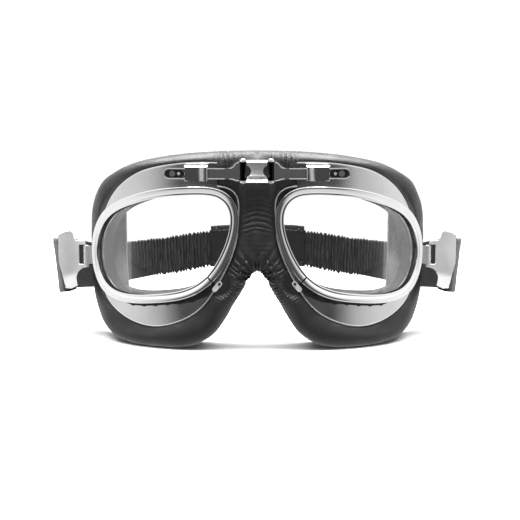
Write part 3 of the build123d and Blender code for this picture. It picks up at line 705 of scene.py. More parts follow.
def arm_edging():
    """A thin bright bead round the arm's bar, flaring up and down to its hinge plate."""
    flare = [(-26.6, 6.1), (-25.2, 5.6), (-24.0, 4.3), (-22.6, 3.2), (-20.6, 2.78), (-18.0, 2.7)]
    flare = cubic(flare, False, 24)
    bar = [(t, 2.7) for t in np.linspace(-17.5, 11.9, 40)]
    turn = [(11.95 + 2.7 * sin(a), 2.7 * cos(a)) for a in np.linspace(0, pi, 18)]
    under = [(t, -2.7) for t in np.linspace(11.9, -17.5, 40)]
    foot = [(t, -2.7 - (u - 2.7) * 0.3) for t, u in flare[::-1]]
    line = [*flare, *bar, *turn, *under, *foot]
    return tube([on_arm(t, u, 1.55 if t > -19 else 1.3) for t, u in line], 0.27, 8)


def stadium(centre, length, height, fronts):
    """A flat plate with round ends on the arm, between two distances in front of its back."""
    r = height / 2
    ends = [(length / 2 - r + r * sin(a), r * cos(a)) for a in np.linspace(0, pi, 14)]
    line = ends + [(-x, -z) for x, z in ends]
    rings = [[on_arm(centre + x, z, front) for x, z in line] for front in fronts]
    n = len(line)
    faces = grid_faces(2, n, False, True) + [list(range(n))[::-1], list(range(n, 2 * n))]
    return np.concatenate(rings), faces


for side_name, side in SIDES:
    edging = piece(f"arm_edging_{side_name}", *arm_edging(), side, 60)
    coat(edging, EDGE_STEEL)
    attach(edging, f"arm_{side_name}")
    # Painted shade: a dark rubber plate on the arm stands in for the shade at the floor of the
    # screw's pocket.
    pocket_shade = piece(f"arm_pocket_{side_name}", *stadium(8.75, 10.4, 4.1, (0.45, 0.68)), side, 40)
    coat(pocket_shade, RUBBER)
    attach(pocket_shade, f"arm_{side_name}")

# ---- Leather facepiece -------------------------------------------------------------

EYE = np.array([53.0, 57.0])  # the middle of the eye opening
HOLE_RADIUS = 78.2  # the opening's front edge stands on this radius about the lens axis
EDGE_COLUMNS = 176
CENTRE_COLUMNS = 26
SLANT = ((92.0, 43.0), (77.0, 62.0))  # two points (x, depth) of the cup's outer wall
BROW_RISE = (24, 52)  # between these heights that wall leans out
TOP_ROLL = (84, 98)  # between these heights the pad's roll swells into the brow's
SLANT_RATE = (SLANT[0][0] - SLANT[1][0]) / (SLANT[1][1] - SLANT[0][1])


def mirrored_ends(points):
    """An open outline that starts and ends on x = 0, with its mirror image added at both ends."""
    p = np.array(points, float)
    flip = p * [-1, 1]
    return np.vstack([flip[1:4][::-1], p, flip[-4:-1][::-1]])


def pad_edge(count):
    """Points round the facepiece's real edge, from its top to the top of the nose notch."""
    fine = cubic(mirrored_ends(PAD_LINE), False, 6000)
    start = np.argmin(np.abs(fine[:, 0]) + (fine[:, 1] < 70) * 999)
    stop = np.argmin(np.abs(fine[:, 0]) + (fine[:, 1] > 70) * 999)
    part = fine[start : stop + 1]
    part[0, 0] = part[-1, 0] = 0
    along = lengths(part)
    return at_lengths(np.linspace(0, along[-1], count), along, part)


def from_eye(xz):
    """Direction and distance of front-view points from the middle of the eye."""
    away = xz - EYE
    return np.arctan2(away[:, 1], away[:, 0]), np.hypot(away[:, 0], away[:, 1])


def by_ray(line, angles):
    """Distance from the middle of the eye to a closed line, along each ray."""
    a, r = from_eye(line)
    a = np.unwrap(a)
    order = np.argsort(a)
    a, r = a[order], r[order]
    a = np.concatenate([a - 2 * pi, a, a + 2 * pi])
    r = np.tile(r, 3)
    return np.interp(np.mod(angles - a[len(a) // 3], 2 * pi) + a[len(a) // 3], a, r)


def wall_depth(x, radius):
    """Depth of the wall of this radius about the lens axis, at x."""
    return LENS_DEPTH - np.sqrt(np.maximum(radius**2 - (x - LENS_X) ** 2, 1.0))


def face_depth(x):
    """Depth of the arc that follows the face, at x."""
    return FACE_DEPTH - np.sqrt(np.maximum(FACE_RADIUS**2 - x**2, 1.0))


def slant_x(depth, inset, z=0.0):
    """x of the cup's slanted wall, which leans out a little towards the brow."""
    lean = 2.3 * smooth_step(z, *BROW_RISE)
    return SLANT[0][0] - inset + lean - (depth - SLANT[0][1]) * SLANT_RATE


def slant_face_x(inset):
    """Where the slanted cup wall meets the face."""
    low, high = 50.0, 90.0
    for _ in range(40):
        x = (low + high) / 2
        if slant_x(face_depth(x), inset) > x:
            low = x
        else:
            high = x
    return low


def rear_hole_x(line, inset):
    """x of the eye opening's rear edge, for each point of its front-view line."""
    return np.minimum(line[:, 0], slant_face_x(inset) + 1.3 * smooth_step(line[:, 1], *BROW_RISE))


def hole_outline(growth, count):
    """The eye opening seen from the front: the rim's middle line, grown and stood on its wall."""
    laid = laid_out(cubic(RIM_LINE, True, count))
    return on_wall(laid + outward(laid) * growth, HOLE_RADIUS)[:, [0, 2]]


def stood(xz, depth):
    """Front-view points at a depth, as points in space."""
    return np.column_stack([xz[:, 0], depth, xz[:, 1]])


edge = pad_edge(EDGE_COLUMNS)
centre = np.column_stack(
    [np.zeros(CENTRE_COLUMNS), np.linspace(edge[-1, 1], edge[0, 1], CENTRE_COLUMNS + 2)[1:-1]]
)
outer = np.vstack([edge, centre])
rays, _ = from_eye(outer)
hole_line = hole_outline(1.0, 720)
hole = EYE + np.column_stack([np.cos(rays), np.sin(rays)]) * by_ray(hole_line, rays)[:, None]
columns = len(outer)

EDGE_POINTS = 900
EDGE_LENGTH = 390.0  # about the length of one pad's edge
edge_fine = pad_edge(EDGE_POINTS)
edge_both = np.vstack([edge_fine, edge_fine * [-1, 1]])
frame_fine = cubic(FRAME_LINE, False, 900)
frame_closed = np.vstack([frame_fine, np.linspace(frame_fine[-1], frame_fine[0], 60)])
gap_there, _ = distance_to(edge_both * np.sign(edge_both[:, :1] + 1e-9) ** [1, 0], frame_closed)


def roll_radius(which):
    """Radius of the roll at points of the edge: as wide as the leather there, more at the top."""
    top = smooth_step(edge_both[which, 1], *TOP_ROLL)
    return np.clip(0.75 * gap_there[which], 2.6, 6.5) * (1 - top) + 9.0 * top


FRONT_ROWS = 20
WALL_ROWS = 11
BACK_ROWS = 11
INNER_ROWS = 6
REAR_ROLL = 3.0
NOSE_DEPTH = 8.2


def front_base(x):
    """Depth of the leather's front before its rolls: the wall, then flat over the nose."""
    base = wall_depth(x, PAD_RADIUS)
    return base + (NOSE_DEPTH - base) * smooth_step(-x, -10.5, -4.5)


def front_surface(xz):
    """Depth of the leather's front at front-view points."""
    to_edge, which = distance_to(xz, edge_both)
    to_frame, _ = distance_to(xz, frame_closed)
    ray, reach = from_eye(xz)
    to_frame[reach < by_ray(frame_closed[:-1], ray)] = 0
    radius = roll_radius(which)
    inner = np.maximum(radius - to_edge, 0)
    roll = radius - np.sqrt(np.maximum(radius**2 - inner**2, 0))
    whole = to_frame + to_edge
    share = to_frame / np.maximum(whole, 1e-6)
    swell = np.minimum(0.26 * whole, 2.3) * np.sqrt(np.clip(4 * share * (1 - share), 0, 1))
    near_top = smooth_step(edge_both[which, 1], *TOP_ROLL) * smooth_step(-to_edge, -14, -8)
    return front_base(xz[:, 0]) + roll - swell * (1 - 0.75 * near_top)


rows = []
for k in range(FRONT_ROWS + 1):
    t = 1 - (1 - k / FRONT_ROWS) ** 1.45
    xz = hole + (outer - hole) * t
    rows.append(stood(xz, front_surface(xz)))
wall_front = rows[-1][:, 1]
wall_rear = face_depth(outer[:, 0]) - REAR_ROLL
wall_rear[:EDGE_COLUMNS] = np.maximum(wall_rear[:EDGE_COLUMNS], wall_front[:EDGE_COLUMNS] + 2)
for k in range(1, WALL_ROWS + 1):
    rows.append(stood(outer, wall_front + (wall_rear - wall_front) * (k / WALL_ROWS)))
rear_hole = np.column_stack([rear_hole_x(hole, 0), hole[:, 1]])
for k in range(1, BACK_ROWS + 1):
    t = k / BACK_ROWS
    t = t * t * (3 - 2 * t) * 0.35 + t * 0.65
    xz = outer + (rear_hole - outer) * t
    to_edge, _ = distance_to(xz, edge_both)
    to_hole = np.linalg.norm(xz - rear_hole, axis=1)
    near = np.maximum(REAR_ROLL - np.minimum(to_edge, to_hole + 1.2), 0)
    depth = face_depth(xz[:, 0]) - (REAR_ROLL - np.sqrt(np.maximum(REAR_ROLL**2 - near**2, 0)))
    rows.append(stood(xz, depth))
hole_front, hole_rear = rows[0][:, 1], rows[-1][:, 1]
for k in range(1, INNER_ROWS):
    depth = hole_rear + (hole_front - hole_rear) * (k / INNER_ROWS)
    x = np.minimum(hole[:, 0], slant_x(depth, 0, hole[:, 1]))
    rows.append(np.column_stack([x, depth, hole[:, 1]]))
right = np.concatenate(rows)
right[:, 1] += FRONT
# The two halves meet on x = 0, so the wall isn't carried across the centre columns.
wall_faces = range(FRONT_ROWS * columns, (FRONT_ROWS + WALL_ROWS) * columns)
faces = [
    face for face in grid_faces(len(rows), columns, True, True)
    if face[0] not in wall_faces or face[0] % columns < EDGE_COLUMNS - 1
]
used = sorted({i for f in faces for i in f})
remap = {old: new for new, old in enumerate(used)}
right = right[used]
faces = [[remap[i] for i in f] for f in faces]
both = np.concatenate([right, right * [-1, 1, 1]])
count = len(right)
faces = faces + [[i + count for i in f][::-1] for f in faces]
facepiece = piece("facepiece", both, faces, 1, 180)


PUFF_FRAMES = 20
EVENED = 10  # rounds of averaging with the neighbours


def puffed(obj, pinned, cap):
    """Runs a cloth simulation on a closed mesh and keeps its shape, moved no further than cap."""
    group = obj.vertex_groups.new(name="held")
    for index, weight in enumerate(pinned):
        if weight > 0:
            group.add([index], float(weight), "REPLACE")
    cloth = obj.modifiers.new("Cloth", "CLOTH")
    settings = cloth.settings
    leather = {
        "quality": 5, "mass": 0.15, "tension_stiffness": 12, "compression_stiffness": 12,
        "shear_stiffness": 4, "bending_stiffness": 0.4, "use_pressure": True,
        "uniform_pressure_force": 4.0, "shrink_min": -0.03, "vertex_group_mass": "held",
    }
    for key, value in leather.items():
        setattr(settings, key, value)
    settings.effector_weights.gravity = 0
    cloth.collision_settings.use_collision = False
    cloth.collision_settings.use_self_collision = False
    scene = bpy.context.scene
    cloth.point_cache.frame_start = 1
    cloth.point_cache.frame_end = PUFF_FRAMES
    for number in range(1, PUFF_FRAMES + 1):
        scene.frame_set(number)
    graph = bpy.context.evaluated_depsgraph_get()
    shaped = obj.evaluated_get(graph).data
    new = np.zeros(len(obj.data.vertices) * 3, np.float32)
    shaped.vertices.foreach_get("co", new)
    new = new.reshape(-1, 3).astype(float)
    old = np.array([v.co for v in obj.data.vertices], float)
    move = new - old
    length = np.linalg.norm(move, axis=1)[:, None]
    move *= np.minimum(1, cap * MM / np.maximum(length, 1e-9))
    # The padding under the leather evens out the small dents.
    edges = np.array([e.vertices[:] for e in obj.data.edges])
    ends = np.concatenate([edges[:, 0], edges[:, 1]])
    others = np.concatenate([edges[:, 1], edges[:, 0]])
    neighbours = np.bincount(ends, minlength=len(move))[:, None]
    free = 1 - np.asarray(pinned)[:, None]
    for _ in range(EVENED):
        total = np.zeros_like(move)
        np.add.at(total, ends, move[others])
        move = free * (0.4 * move + 0.6 * total / neighbours)
    obj.modifiers.remove(cloth)
    obj.vertex_groups.clear()
    scene.frame_set(1)
    obj.data.vertices.foreach_set("co", (old + move).ravel())
    obj.data.update()
    return np.max(length) / MM


def places(obj):
    """A mesh's points, in millimetres."""
    co = np.zeros(len(obj.data.vertices) * 3)
    obj.data.vertices.foreach_get("co", co)
    return co.reshape(-1, 3) / MM


def normals(obj):
    n = np.zeros(len(obj.data.vertices) * 3)
    obj.data.vertices.foreach_get("normal", n)
    return n.reshape(-1, 3)


def put(obj, points):
    obj.data.vertices.foreach_set("co", (points * MM).ravel())
    obj.data.update()


def roughened(obj, *waves):
    """Moves a mesh's surface in and out by waves of (height, size, seed)."""
    p = places(obj)
    height = sum(height * wobble(p, size, seed) for height, size, seed in waves)
    put(obj, p + normals(obj) * height[:, None])


def subdivided(obj, levels):
    """Subdivides a mesh for good."""
    modifier = obj.modifiers.new("Subdivide", "SUBSURF")
    modifier.levels = modifier.render_levels = levels
    graph = bpy.context.evaluated_depsgraph_get()
    mesh = bpy.data.meshes.new_from_object(obj.evaluated_get(graph))
    obj.modifiers.clear()
    obj.data = mesh


def held_weights(obj):
    """1 where the leather is clamped under the eye frame or lines the cup, 0 where it is free."""
    p = places(obj)
    xz = np.column_stack([np.abs(p[:, 0]), p[:, 2]])
    ray, reach = from_eye(xz)
    front = p[:, 1] - FRONT < wall_depth(xz[:, 0], PAD_RADIUS) + 4
    clamped = (reach < by_ray(frame_closed[:-1], ray) - 0.6) & front
    cup = reach < by_ray(hole_line, ray) + 0.3
    return np.where(clamped | cup, 1.0, 0.0)


moved = puffed(facepiece, held_weights(facepiece), 1.6)
print("facepiece simulated, largest move", round(float(moved), 2))

subdivided(facepiece, 2)


def ridge(distance, width):
    """A rounded ridge or groove profile: 1 on its line, 0 beyond its width."""
    return np.exp(-((distance / width) ** 2))


# Height and depth of each crease over the nose.
NOSE_CREASES = ((81.5, 0.5), (76.2, 0.75), (73.6, 0.55), (70.6, 0.8), (67.8, 0.7), (65.6, 0.5))
NOTCH_TOP = 41.0  # the folds round the nose notch fan out from here


def wrinkles(p):
    """How far the leather stands out at each point, in millimetres."""
    x, depth, z = np.abs(p[:, 0]), p[:, 1] - FRONT, p[:, 2]
    xz = np.column_stack([x, z])
    to_edge, which = distance_to(xz, edge_fine)
    to_frame, _ = distance_to(xz, frame_closed)
    coarse = wobble(p, 11.0, 1)
    medium = wobble(p, 4.2, 2)
    fine = wobble(p, 1.7, 3)
    along = which / EDGE_POINTS * EDGE_LENGTH
    calm = 1 - 0.75 * smooth_step(-z, -42, -28)
    height = calm * (0.10 * coarse + 0.05 * medium + 0.03 * fine)
    # Gathers across the roll, strongest beside the nose and on the brow above it.
    gather = np.sin(along * 2.9 + 1.6 * medium) * 0.6 + np.sin(along * 4.7 + 2.2 * coarse) * 0.4
    cheek = smooth_step(-x, -30, -13) * smooth_step(z, 22, 30) * smooth_step(-z, -60, -46)
    brow = ridge(x - 16.5, 6.5) * smooth_step(z, 97, 101)
    rest = 0.10 + 0.12 * smooth_step(coarse, -0.1, 0.5)
    outside = smooth_step(to_frame, 0.2, 1.6)
    height += outside * gather * (0.5 * cheek + 0.5 * brow + 0.08 * calm * rest)
    # Creases over the bridge of the nose: shallow arches, one above another.
    nose = smooth_step(-x, -9.5, -5.5) * (depth < 22)
    for level, strength in NOSE_CREASES:
        line = level - 0.035 * x**2 + 0.5 * medium
        height -= nose * strength * 0.75 * ridge(z - line, 0.45)
        height += nose * strength * 0.4 * ridge(z - line - 0.95, 0.6)
    height += nose * 0.05 * np.sin(z * 2.4 + 1.5 * coarse) * smooth_step(-z, -66, -52)
    # Folds that fan out from the top of the notch.
    reach = np.hypot(x, z - NOTCH_TOP)
    turn = np.arctan2(z - NOTCH_TOP, x)
    fan = smooth_step(reach, 1.5, 3.5) * smooth_step(-reach, -15, -7) * (depth < 30)
    height += fan * 0.55 * np.sin(turn * 15 + 0.5 * medium + 0.8)
    # A long fold from the notch out along the cheek.
    start, end = np.array([5.5, 50.5]), np.array([9.5, 42.5])
    run = end - start
    share = np.clip(((xz - start) @ run) / (run @ run), 0, 1)
    off = np.linalg.norm(xz - (start + share[:, None] * run), axis=1)
    height -= 0.5 * ridge(off, 0.5) * (depth < 22)
    # A second fold line along the top roll, and a seam round the side.
    wall = smooth_step(-to_edge, -1.2, -0.2)
    turned_x = 95.6 - np.log1p(np.exp((95.6 - x) * 0.8)) / 0.8  # x, held smoothly below 95.6
    behind = depth - front_base(turned_x)
    height -= 0.35 * ridge(behind - 6.8 - 0.5 * coarse, 0.5) * wall
    height -= 0.55 * ridge(behind - 14.0, 0.45) * wall
    height += 0.25 * (ridge(behind - 12.6, 0.8) + ridge(behind - 15.4, 0.8)) * wall
    puckers = wobble(p, 2.6, 4) * np.sin(along * 1.3 + 5 * coarse)
    height += wall * (0.12 * puckers + 0.12 * medium) * smooth_step(behind, 4, 8)
    return height


p = places(facepiece)
p += normals(facepiece) * wrinkles(p)[:, None]
p[:, 2] = np.maximum(p[:, 2], 0.02)
# The leather gives way under the arc that the clasp swings through.
CLASP_PIVOT = (20.3, 36.9)
CLASP_DEPTH = 3.0
from_pivot = np.hypot(np.abs(p[:, 0]) - CLASP_PIVOT[0], p[:, 2] - CLASP_PIVOT[1])
too_far_forward = np.maximum(FRONT + CLASP_DEPTH - p[:, 1], 0)
p[:, 1] += too_far_forward * (1 - smooth_step(from_pivot, 5.6, 8.5))
put(facepiece, p)

NOSE_X = 6.4  # the seams between the nose leather and the two pads


def cut_piece(obj, name, low, high):
    """A copy of a mesh with the faces whose middles lie between two x values, in millimetres."""
    mesh = obj.data.copy()
    mesh.name = name
    part = bpy.data.objects.new(name, mesh)
    bpy.context.scene.collection.objects.link(part)
    bm = bmesh.new()
    bm.from_mesh(mesh)
    for x in (low, high):
        everything = bm.verts[:] + bm.edges[:] + bm.faces[:]
        plane = {"plane_co": (x * MM, 0, 0), "plane_no": (1, 0, 0)}
        bmesh.ops.bisect_plane(bm, geom=everything, **plane, dist=1e-7)
    away = [f for f in bm.faces if not low * MM < f.calc_center_median().x < high * MM]
    bmesh.ops.delete(bm, geom=away, context="FACES")
    bm.to_mesh(mesh)
    bm.free()
    return part


for side_name, side in SIDES:
    span = sorted((side * NOSE_X, side * 200.0))
    pad = cut_piece(facepiece, f"facepiece_{side_name}", *span)
    coat(pad, LEATHER)
    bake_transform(pad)
    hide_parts(f"face_pad_{side_name}")
    span = sorted((0.0, side * NOSE_X))
    nose = cut_piece(facepiece, f"nose_{side_name}", *span)
    coat(nose, LEATHER)
    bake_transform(nose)
    if side == 1:
        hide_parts("nose_leather")
bpy.data.objects.remove(facepiece)

# ---- Cup lining --------------------------------------------------------------------

LINING_COLUMNS = 400
LINING_ROWS = 30
HEM_COUNT = 360
CUP_FRONT_RADIUS = 72.4  # the lining starts on this radius, behind the clamp ring


def lining_rows(growth, inset):
    """Rings of the cup's wall, from the clamp ring back to the face."""
    line = hole_outline(growth, LINING_COLUMNS)
    rings = []
    rear_depth = face_depth(rear_hole_x(line, inset)) - 0.3
    front_at = np.minimum(wall_depth(line[:, 0], CUP_FRONT_RADIUS), 58)
    for k in range(LINING_ROWS + 1):
        t = k / LINING_ROWS
        depth = front_at + (rear_depth - front_at) * t
        x = np.minimum(line[:, 0], slant_x(depth, inset, line[:, 1]))
        rings.append(np.column_stack([x, depth + FRONT, line[:, 1]]))
    return rings


for side_name, side in SIDES:
    inside = lining_rows(0.0, 1.0)
    outside = lining_rows(0.85, 0.15)
    points = np.concatenate(inside + outside[::-1])
    faces = grid_faces(2 * (LINING_ROWS + 1), LINING_COLUMNS, True, True)
    lining = piece(f"lining_{side_name}", points, faces, side, 60)
    roughened(lining, (0.10, 3.0, 5), (0.06, 1.2, 6))
    coat(lining, LINING)
    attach(lining, f"frame_{side_name}")
    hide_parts(f"pad_lining_{side_name}")

    # Binding sewn round the lining's rear edge.
    hem = inside[-1] * 0.5 + outside[-1] * 0.5
    hem = np.vstack([hem, hem[:1]])
    along = lengths(hem)
    at = np.linspace(0, along[-1], HEM_COUNT, endpoint=False)
    hem = at_lengths(at, along, hem)
    hem[:, 1] -= 0.2
    tangent = unit(np.roll(hem, -1, 0) - np.roll(hem, 1, 0))
    toward = unit(np.column_stack([EYE[0] - hem[:, 0], 0 * at, EYE[1] - hem[:, 2]]))
    backward = unit(np.cross(tangent, toward))
    thick = 0.62 + 0.08 * np.sin(at * 5.2)
    points = round_rings(hem, thick[:, None], toward, backward, 12)
    faces = grid_faces(12, HEM_COUNT, True, True)
    binding = piece(f"lining_binding_{side_name}", points, faces, side)
    coat(binding, BINDING)
    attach(binding, f"frame_{side_name}")

# ---- Strap -------------------------------------------------------------------------


def loop_point(x, layer):
    """Place and outward direction on the back half of the strap loop, in plan, at x."""
    a, b = STRAP_A - layer, STRAP_B - layer
    x = np.asarray(x, float) * a / STRAP_A
    y = b * np.sqrt(np.maximum(1 - (x / a) ** 2, 0))
    return np.column_stack([x, STRAP_Y + y]), unit(np.column_stack([x / a**2, y / b**2]))


def band(place, out, low, high, layers, edge_round, count, lift=None):
    """Points and faces of a strap, from its line in plan, its lower and upper edges, and the
    depths of its outer and inner faces inward from that line. lift moves each face outward."""
    outer_layer, inner_layer = layers
    half = (inner_layer - outer_layer) / 2
    middle = (outer_layer + inner_layer) / 2
    # The section as (share of the height, from the outer face 1 to the inner face -1).
    bends = [pi * k / 6 for k in range(1, 6)]
    section = [(k / count, 1) for k in range(count + 1)]
    section += [(1 + edge_round * sin(a), cos(a)) for a in bends]
    section += [(1 - k / count, -1) for k in range(count + 1)]
    section += [(-edge_round * sin(a), -cos(a)) for a in bends]
    rings = []
    for share, face in section:
        inner_share = np.clip(share, 0, 1)
        height = low + half + (high - low - 2 * half) * inner_share
        height = height + (share - inner_share) * half / edge_round
        off = -middle + half * face
        if lift is not None:
            off = off + lift(inner_share, face)[:, None] * (1 if face >= 0 else -1)
        rings.append(np.column_stack([place + out * off, height]))
    n = len(place)
    faces = grid_faces(len(rings), n, True, False) + caps(len(rings), n)
    return np.concatenate(rings), faces


def arc_even(xs_from, xs_to, layer, spacing):
    """x values of points evenly spaced round the loop, and their distances along it."""
    fine = np.linspace(xs_from, xs_to, 2000)
    along = lengths(loop_point(fine, layer)[0])
    at = np.linspace(0, along[-1], int(along[-1] / spacing))
    return np.interp(at, along, fine), at


def elastic(x_from, x_to, seed):
    """Gathered elastic between two x values, with frilled edges."""
    xs, along = arc_even(x_from, x_to, 3.1, 0.28)

    def uneven(size, seed, y, z):
        return wobble([(s, y, z) for s in along], size, seed)

    wave = uneven(6.0, seed, 0, 0)
    phase = along * 2 * pi / GATHER + 4.2 * wave
    deep = 0.72 + 0.28 * smooth_step(uneven(7.0, seed + 5, 1, 7), -0.4, 0.4)
    high = heights(ELASTIC_TOP, xs) + deep * 0.75 * np.sin(phase)
    high = high + 0.55 * uneven(1.6, seed + 1, 3, 0)
    low = heights(ELASTIC_LOW, xs) - deep * 0.75 * np.sin(phase + 0.7)
    low = low + 0.55 * uneven(1.6, seed + 2, 9, 0)

    def pucker(share, face):
        lean = 1.3 * np.sin(share * 4.0 + wave * 3)
        soft = 0.55 + 0.25 * uneven(3.0, seed + 3, share * 16, 4)
        fold = np.sin(phase + lean + (0 if face > 0 else 1.4))
        return deep * soft * (1.15 * fold + 0.45 * np.sin(2.7 * phase + 2 * lean))

    return band(*loop_point(xs, 0), low, high, (2.4, 3.8), 0.6, 16, pucker)


GATHER = 2.3  # distance between two of the elastic's gathers
# Edges of the strap's parts as (x, height).
ELASTIC_TOP = [(31.0, 54.9), (44.5, 53.5), (63.5, 50.8), (84.0, 49.5), (90.0, 49.2)]
ELASTIC_LOW = [
    (30.0, 32.2), (51.0, 28.6), (62.5, 27.5), (68.0, 27.6), (72.9, 30.2), (78.9, 33.9),
    (84.0, 37.0), (88.5, 39.2),
]
LEATHER_TOP = [
    (61.0, 34.0), (64.0, 38.4), (70.0, 43.0), (77.0, 46.6), (84.0, 48.6), (101.0, 50.2),
    (110.0, 53.6), (119.6, 57.6),
]
LEATHER_LOW = [
    (61.0, 33.0), (63.0, 29.0), (66.0, 27.0), (84.0, 24.6), (102.0, 22.8), (112.0, 24.4),
    (119.6, 26.0),
]
FRONT_TOP = [(105.0, 56.6), (112.0, 57.4), (119.6, 57.6)]
FRONT_LOW = [(105.0, 28.0), (112.0, 26.6), (119.6, 26.0)]
FOLD_RADIUS = 3.0


def heights(edge, x):
    """Height of a strap's edge at x."""
    return np.interp(x, *zip(*edge))



def leather_path():
    """The leather end in plan: place, outward direction, lower and upper edge."""
    turn_x, turn_y = STRAP_A - 0.9 - FOLD_RADIUS, FRONT + 51.1
    run = np.linspace((105.6, FRONT + 50.6), (turn_x, turn_y), 14)[:-1]
    bend = [
        (turn_x + FOLD_RADIUS * sin(a), turn_y + 2.9 * (1 - cos(a)))
        for a in np.linspace(0, pi / 2, 12)[:-1]
    ]
    xs, _ = arc_even(STRAP_A, 61.2, 0.9, 0.7)
    place, _ = loop_point(xs, 0.9)
    path = np.vstack([run, bend, place])
    step = unit(np.gradient(path, axis=0))
    out = np.column_stack([step[:, 1], -step[:, 0]])
    x = path[:, 0]
    before = np.arange(len(path)) < len(run) + len(bend)
    top = np.where(before, heights(FRONT_TOP, x), heights(LEATHER_TOP, x))
    low = np.where(before, heights(FRONT_LOW, x), heights(LEATHER_LOW, x))
    return path, out, low, top


STITCH = 2.3
STITCH_SPACE = 0.9
STITCH_DIP = 0.3 * (1 - np.sin(np.linspace(0, pi, 7)))


def stitch_row(path, height, out):
    """Short thread runs along a line on a surface, whose ends dip into it."""
    p = np.column_stack([path, height])
    p[:, :2] += out * 0.05
    along = lengths(p)
    parts = []
    at = STITCH_SPACE
    while at + STITCH < along[-1]:
        s = np.linspace(at, at + STITCH, len(STITCH_DIP))
        run = at_lengths(s, along, p)
        run[:, :2] -= at_lengths(s, along, out) * STITCH_DIP[:, None]
        parts.append(tube(run, 0.27, 7))
        at += STITCH + STITCH_SPACE
    return parts


def tucked(points):
    """Leans the strap's lower edge in at the temple, where the loop is widest."""
    x, depth, z = points[:, 0], points[:, 1] - FRONT, points[:, 2]
    lean = np.clip((58 - z) / 31, 0, 1.1) * smooth_step(x, 105, 114)
    lean = lean * (1 - smooth_step(depth, 60, 100))
    return points - np.column_stack([3.1 * lean, 0 * x, 0 * x])


# ---- Strap hook --------------------------------------------------------------------


HOOK_LINE = [
    (99.3, 56.8), (104.6, 56.8), (105.9, 58.6), (107.2, 62.0), (108.4, 62.5), (111.7, 61.6),
    (115.2, 59.8), (115.3, 50.0), (114.8, 43.0), (112.4, 34.4), (111.0, 29.4), (110.4, 29.0),
    (107.6, 28.9), (103.8, 30.6), (104.7, 34.6), (104.6, 36.2), (103.6, 38.6), (102.4, 39.9),
    (100.6, 40.8), (98.5, 41.4), (98.5, 43.0), (103.1, 43.0), (103.1, 54.4), (99.3, 54.4),
]


def hook_depth(x, z):
    """Depth of the middle of the hook's plate, whose lower lip is bent forward."""
    plan = cubic([(98.5, 47.0), (104.0, 47.7), (110.0, 47.9), (115.6, 49.2)], False, 60)
    below = 38.0 - 0.23 * (x - 104.2) - z
    lip = (np.sqrt(below**2 + 0.4) + below) / 2
    outside = smooth_step(x, 102, 104)
    return np.interp(x, plan[:, 0], plan[:, 1]) - 0.21 * lip * outside


def hook_plate():
    """The hook's bent plate and upright leg, as points and faces."""
    bm = bmesh.new()
    face = bm.faces.new([bm.verts.new((x, 0, z)) for x, z in HOOK_LINE])
    face.normal_update()
    bmesh.ops.triangulate(bm, faces=[face])
    # The flat outline is cut into a grid, so that it can be bent.
    across = [99.3, 100.25, 101.2, 102.15, *np.arange(103.1, 115.5, 1.0)]
    upward = [*np.arange(29.6, 42.0, 1.0), *np.arange(43.0, 54.2, 0.95), 54.4]
    upward += [*np.arange(55.6, 62, 1.1)]
    for axis, cuts in ((0, across), (2, upward)):
        for place in cuts:
            co, no = [0.0, 0.0, 0.0], [0.0, 0.0, 0.0]
            co[axis], no[axis] = float(place), 1.0
            geometry = bm.verts[:] + bm.edges[:] + bm.faces[:]
            bmesh.ops.bisect_plane(bm, geom=geometry, plane_co=co, plane_no=no, dist=1e-4)
    bmesh.ops.remove_doubles(bm, verts=bm.verts, dist=0.24)
    bm.verts.index_update()
    flat = np.array([v.co for v in bm.verts])
    inside = [[v.index for v in f.verts] for f in bm.faces]
    rim_edges = [(e.verts[0].index, e.verts[1].index) for e in bm.edges if e.is_boundary]
    bm.free()
    depth = hook_depth(flat[:, 0], flat[:, 2]) + FRONT
    count = len(flat)
    front, back = (np.column_stack([flat[:, 0], depth + d, flat[:, 2]]) for d in (-0.6, 0.6))
    faces = inside + [[i + count for i in f][::-1] for f in inside]
    faces += [(a, b, b + count, a + count) for a, b in rim_edges]
    leg = np.linspace((98.5, FRONT + 47.0, 41.4), (98.5, FRONT + 47.0, 54.0), 14)
    return joined([(np.concatenate([front, back]), faces), tube(leg, 1.02, 20)])


# Each elastic's name, x range, seed, the two bodies named for its ends, and the x values given for
# the start and end of a blend between them.
ELASTICS = (
    ("outer", 62.1, 88.0, 11, "frame_{}", "arm_{}", 0.086, 0.064),
    ("inner", 31.2, 62.1, 12, "arm_{}", "bridge", 0.060, 0.034),
)

for side_name, side in SIDES:
    hook = piece(f"hook_{side_name}", *hook_plate(), side, 40)
    soften(hook, 0.14, 2, 45)
    coat(hook, HOOK_SATIN)
    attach(hook, f"hook_{side_name}")
    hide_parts(f"strap_hook_{side_name}")

    path, out, low, top = leather_path()
    points, faces = band(path, out, low, top, (-0.9, 0.9), 0.9, 14)
    strap = piece(f"strap_leather_{side_name}", tucked(points), faces, side, 60)
    roughened(strap, (0.12, 7.0, 8), (0.04, 1.8, 9))
    coat(strap, STRAP_LEATHER)
    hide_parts(f"strap_end_{side_name}")
    stitches = stitch_row(path + out * 0.9, top - 2.4, out)
    stitches += stitch_row(path + out * 0.9, low + 2.4, out)
    points, faces = joined(stitches)
    stitching = piece(f"strap_stitching_{side_name}", tucked(points), faces, side, 60)
    coat(stitching, THREAD)
    for soft in (strap, stitching):
        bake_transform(soft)

    for name, x_from, x_to, seed, body, next_body, start_x, end_x in ELASTICS:
        points, faces = elastic(x_from, x_to, seed)
        sleeve = piece(f"elastic_{name}_mesh_{side_name}", points, faces, side, 180)
        coat(sleeve, ELASTIC)
        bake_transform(sleeve)
        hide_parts(f"elastic_{name}_{side_name}")

